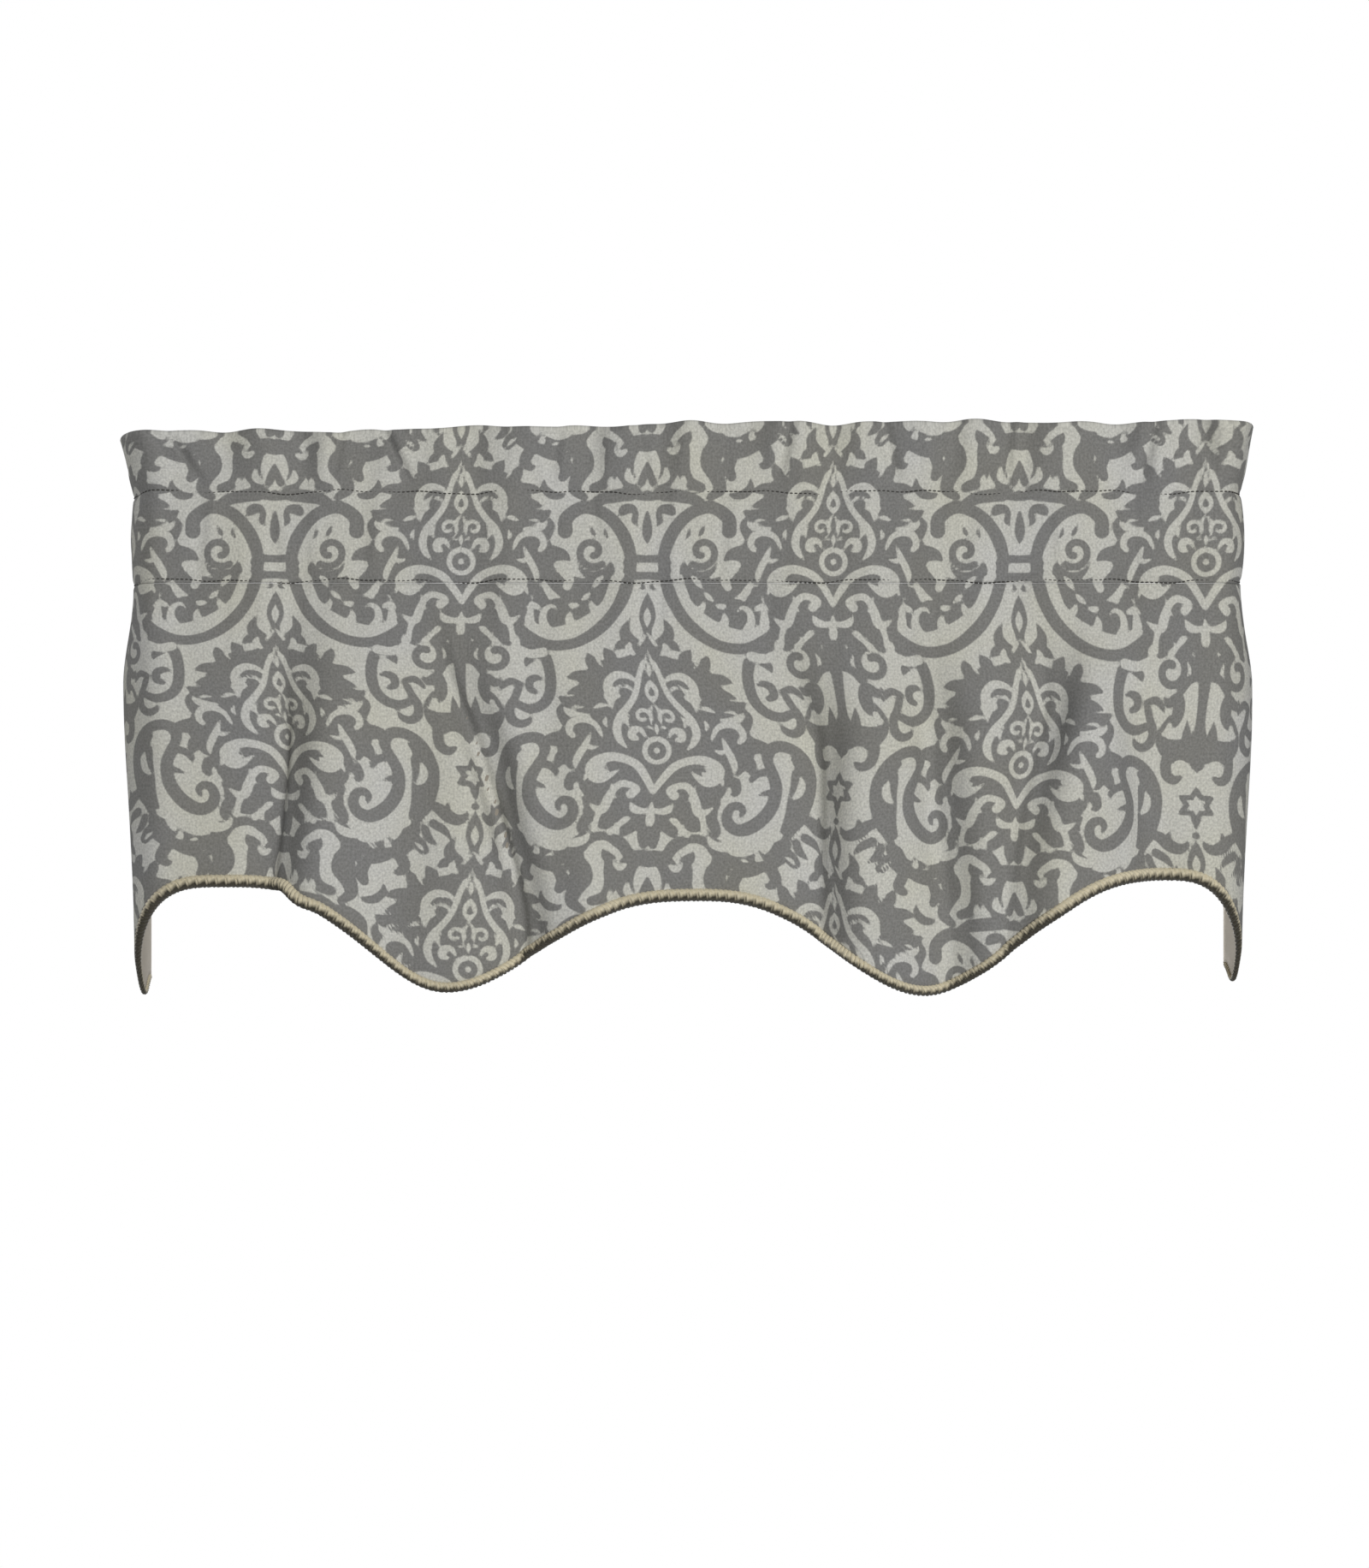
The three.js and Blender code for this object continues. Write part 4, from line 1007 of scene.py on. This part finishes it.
class ValanceSizes(bpy.types.PropertyGroup):
    """Sizes of the trim and of the stage."""

    rope_diameter: size_setting("Rope", "Diameter of the twisted cord", 0.0098, 0.004, 0.015)
    rope_pitch: size_setting("Rope pitch", "Length of one turn of a strand", 0.011, 0.006, 0.04)
    stitch_length: size_setting("Stitch", "Length of one stitch", 0.0027, 0.001, 0.006)
    stitch_gap: size_setting("Stitch gap", "Space between two stitches", 0.0008, 0.0002, 0.004)
    floor_height: size_setting("Floor", "Height of the floor under the heading's top edge", -1.25, -3, -0.5)


def settings():
    return bpy.context.scene.valance_sizes, bpy.context.scene.valance_colours


def dress(piece, material, nodes):
    """Gives a piece its material and its place in the part."""
    piece.data.materials.append(material)
    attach(piece, "root")
    if nodes:
        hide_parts(*nodes)


# Operators: one for each piece, and one for the stage


class VALANCE_OT_heading(bpy.types.Operator):
    """Adds the printed heading, turned over at its top, with the open rod pocket between its layers"""

    bl_idname = "valance.heading"
    bl_label = "Heading"

    def execute(self, context):
        colours = settings()[1]
        z, angle = heading_levels()
        flat = np.linspace(-HALF_FLAT, HALF_FLAT, FACE_COLUMNS + 1)[:, None]
        outer = heading_points(flat, z[None, :], angle[None, :], FACE_OUT)
        inner = heading_points(flat[::2], z[None, ::2], angle[None, ::2], FACE_IN)
        length = np.where(np.cos(angle) > 0, z, -z)[None, :] * np.ones_like(flat)
        across = flat * np.ones_like(length)
        cloth = np.stack([across, length], axis=-1)
        made = sheet_object("heading_cloth", outer, inner, cloth, print_field(across, length))
        dress(made, printed_cloth(colours),
              ("heading_front", "heading_left_return", "heading_right_return"))
        return {"FINISHED"}


class VALANCE_OT_skirt(bpy.types.Operator):
    """Adds the printed skirt with its folds and scalloped hem"""

    bl_idname = "valance.skirt"
    bl_label = "Skirt"

    def execute(self, context):
        colours = settings()[1]
        made, cut = skirt_sheet("skirt_cloth", FACE_COLUMNS, SKIRT_ROWS, FACE_OUT, FACE_IN, True)
        dress(made, printed_cloth(colours), ("skirt_face",))
        return {"FINISHED"}


class VALANCE_OT_lining(bpy.types.Operator):
    """Adds the plain lining behind the skirt"""

    bl_idname = "valance.lining"
    bl_label = "Lining"

    def execute(self, context):
        colours = settings()[1]
        made, cut = skirt_sheet("skirt_lining_cloth", LINING_COLUMNS, LINING_ROWS, LINING_OUT, LINING_IN,
                                False)
        dress(made, lining_cloth(colours), ("skirt_lining",))
        return {"FINISHED"}


class VALANCE_OT_rope(bpy.types.Operator):
    """Adds the twisted cord along the hem, as three strands laid round each other"""

    bl_idname = "valance.rope"
    bl_label = "Rope"

    def girth(self, end, z):
        """Share of the cord's full thickness: drawn in at its ends, thinner round the low points."""
        taper = blend(END_GIRTH, 1, END_GROWS, end) * blend(WALL_GIRTH, 1, WALL_GROWS, end)
        return taper * blend(LOW_GIRTH, HIGH_GIRTH, HEM_GROWS, z)

    def softened(self, rows, **ends):
        """Running mean of each column, with numpy's words for how its ends go on."""
        half, soft = ROPE_SOFT // 2, np.ones(ROPE_SOFT) / ROPE_SOFT
        wide = np.pad(rows, ((half, half), (0, 0)), **ends)
        return np.stack([np.convolve(column, soft, mode="valid") for column in wide.T], axis=1)

    def hem_line(self, radius):
        """Middle of the cord in even steps along it, and the direction out of the cloth there."""
        flat = np.linspace(-HALF_FLAT, HALF_FLAT, ROPE_SAMPLES)
        hem = hem_height(flat)
        slope = self.softened(np.gradient(hem, flat)[:, None], mode="edge")[:, 0]
        drop = ROPE_SEAT * radius * self.girth(HALF_FLAT - np.abs(flat), hem) / np.hypot(1, slope)
        at, z = flat + slope * drop, hem - drop
        out = skirt_out(at, z)
        forward = blend(ROPE_FORWARD, ROPE_FORWARD_RETURN, ROPE_GOES_BACK, np.abs(flat))
        middle = skirt_middle(at, z) + out * forward[:, None]
        middle = self.softened(middle, mode="reflect", reflect_type="odd")
        lengths = np.concatenate([[0], np.cumsum(np.linalg.norm(np.diff(middle, axis=0), axis=1))])
        steps = np.linspace(ROPE_CUT, lengths[-1] - ROPE_CUT, int(lengths[-1] / ROPE_STEP))
        middle, out = (np.stack([np.interp(steps, lengths, column) for column in rows.T], axis=1)
                       for rows in (middle, out))
        return steps, middle, out

    def execute(self, context):
        sizes, colours = settings()
        radius = sizes.rope_diameter / MM / 2
        steps, middle, out = self.hem_line(radius)
        tangent = unit(np.gradient(middle, axis=0))
        out = square_to(out, tangent)
        below = np.cross(out, tangent)
        below *= np.where(below[:, 2:] > 0, -1, 1)
        strand = radius / (1 + 2 / math.sqrt(3))
        lay_radius = radius - strand
        taper = self.girth(np.minimum(steps - steps[0], steps[-1] - steps), middle[:, 2])
        paths = []
        for k in range(ROPE_STRANDS):
            turn = 2 * math.pi * (steps * MM / sizes.rope_pitch + k / ROPE_STRANDS)
            way = np.cos(turn)[:, None] * out + np.sin(turn)[:, None] * below
            paths.append((middle + way * lay_radius * taper[:, None], way))
        radii = [strand * taper * STRAND_SWELL] * ROPE_STRANDS
        points, faces, step, side = tubes(paths, radii, STRAND_SIDES)
        offset = (points - middle[step]) / taper[step][:, None]
        # Painted shade on the cord: darker below its middle, a middle tone on its back and darker in the
        # grooves between strands; the material mixes these into its colour
        under = smooth_step(*UNDER_EDGE, np.sum(offset * below[step], axis=1) / radius)
        behind = smooth_step(*BACK_EDGE, -np.sum(offset * out[step], axis=1) / radius)
        painted_groove_shade = 1 - smooth_step(*GROOVE_EDGE, np.linalg.norm(offset, axis=1) / radius)
        places = np.stack([steps[step], side * strand * 2 * math.pi / STRAND_SIDES], axis=1)
        made = mesh_object("hem_cord", points, faces, len(faces), places)
        add_values(made.data, "under", np.maximum(under, BACK_SHADE * behind))
        add_values(made.data, "painted_groove_shade", painted_groove_shade)
        dress(made, rope_cord(colours), ("hem_rope",))
        return {"FINISHED"}


class VALANCE_OT_stitching(bpy.types.Operator):
    """Adds the two rows of stitches that close the rod pocket, on the front and on the back"""

    bl_idname = "valance.stitching"
    bl_label = "Stitching"

    def execute(self, context):
        sizes, colours = settings()
        pitch = (sizes.stitch_length + sizes.stitch_gap) / MM * FULLNESS
        sewn = sizes.stitch_length / (sizes.stitch_length + sizes.stitch_gap)
        starts = np.arange(-HALF_FLAT + STITCH_FIRST, HALF_FLAT - STITCH_LAST, pitch)
        count = len(STITCH_RISE)
        paths = []
        for z in STITCH_LINES:
            for angle in (0.0, math.pi):
                for start in starts:
                    flat = start + np.linspace(0, pitch * sewn, count)
                    lift = FACE_OUT + STITCH_RISE + sum_of_waves(STITCH_PULLS, flat + z) - STITCH_SINK
                    path = heading_points(flat, z + stitch_wave(flat), np.full(count, angle), lift)
                    paths.append((path, np.tile([0.0, 0.0, 1.0], (count, 1))))
        points, faces, step, side = tubes(paths, [THREAD_RADIUS * STITCH_GIRTH] * len(paths), STITCH_SIDES)
        made = mesh_object("pocket_stitches", points, faces, len(faces), np.stack([step, side], axis=1))
        dress(made, sewing_thread(colours), ())
        return {"FINISHED"}


class VALANCE_OT_stage(bpy.types.Operator):
    """Adds the pale floor, the soft lights, the white room and the camera"""

    bl_idname = "valance.stage"
    bl_label = "Stage"

    def execute(self, context):
        sizes, colours = settings()
        scene = bpy.context.scene
        self.add_floor(sizes.floor_height, colours)
        for lamp in LAMPS:
            self.add_lamp(*lamp)
        scene.world = self.white_room()
        scene.view_settings.view_transform = "Standard"
        camera = bpy.data.cameras.new("front_view")
        camera.sensor_fit = "VERTICAL"
        camera.sensor_height = VIEW_SENSOR
        camera.lens = VIEW_LENS
        scene.camera = place_object("front_view", camera)
        self.aim(scene.camera, VIEW_FROM, VIEW_TO)
        return {"FINISHED"}

    def aim(self, thing, place, target):
        thing.location = place
        way = Vector(target) - Vector(place)
        thing.rotation_euler = way.to_track_quat("-Z", "Y").to_euler()

    def white_room(self):
        """A dim soft room all round, which looks white itself."""
        world = bpy.data.worlds.new("white_room")
        world.use_nodes = True
        tree = world.node_tree
        room, out = tree.nodes["Background"], tree.nodes["World Output"]
        room.inputs["Color"].default_value, room.inputs["Strength"].default_value = ROOM_COLOUR, ROOM_STRENGTH
        white = tree.nodes.new("ShaderNodeBackground")
        white.inputs["Color"].default_value = WHITE
        choice = tree.nodes.new("ShaderNodeMixShader")
        seen = tree.nodes.new("ShaderNodeLightPath").outputs["Is Camera Ray"]
        for k, end in enumerate((seen, room.outputs[0], white.outputs[0])):
            tree.links.new(end, choice.inputs[k])
        tree.links.new(choice.outputs[0], out.inputs["Surface"])
        return world

    def add_lamp(self, name, place, target, size, power):
        light = bpy.data.lights.new(name, "AREA")
        light.shape, light.energy = "RECTANGLE", power
        light.size, light.size_y = size
        lamp = place_object(name, light)
        lamp.visible_camera = False
        self.aim(lamp, place, target)

    def add_floor(self, height, colours):
        """A round floor under the valance."""
        turns = [2 * math.pi * k / FLOOR_SIDES for k in range(FLOOR_SIDES)]
        points = [(FLOOR_RADIUS * math.cos(a), FLOOR_RADIUS * math.sin(a), 0) for a in turns]
        mesh = bpy.data.meshes.new("floor")
        mesh.from_pydata(points, [], [list(range(FLOOR_SIDES))])
        mesh.materials.append(floor_paint(colours))
        made = place_object("floor", mesh)
        made.location = (0, 0, height)


class VALANCE_PT_panel(bpy.types.Panel):
    """Sidebar panel with the valance's settings and operators"""

    bl_idname = "VALANCE_PT_panel"
    bl_label = "Valance"
    bl_space_type = "VIEW_3D"
    bl_region_type = "UI"
    bl_category = "Valance"

    def draw(self, context):
        for group in (context.scene.valance_sizes, context.scene.valance_colours):
            box = self.layout.box()
            for key in group.__annotations__:
                box.prop(group, key)
        for operator in OPERATORS:
            self.layout.operator(operator.bl_idname)


OPERATORS = (
    VALANCE_OT_heading,
    VALANCE_OT_skirt,
    VALANCE_OT_lining,
    VALANCE_OT_rope,
    VALANCE_OT_stitching,
    VALANCE_OT_stage,
)
CLASSES = (ValanceColours, ValanceSizes, *OPERATORS, VALANCE_PT_panel)


def register():
    for cls in CLASSES:
        bpy.utils.register_class(cls)
    bpy.types.Scene.valance_sizes = PointerProperty(type=ValanceSizes)
    bpy.types.Scene.valance_colours = PointerProperty(type=ValanceColours)


def unregister():
    del bpy.types.Scene.valance_colours
    del bpy.types.Scene.valance_sizes
    for cls in reversed(CLASSES):
        bpy.utils.unregister_class(cls)


def main():
    register()
    bpy.ops.valance.heading()
    bpy.ops.valance.skirt()
    bpy.ops.valance.lining()
    bpy.ops.valance.rope()
    bpy.ops.valance.stitching()
    bpy.ops.valance.stage()


if __name__ == "__main__":
    main()
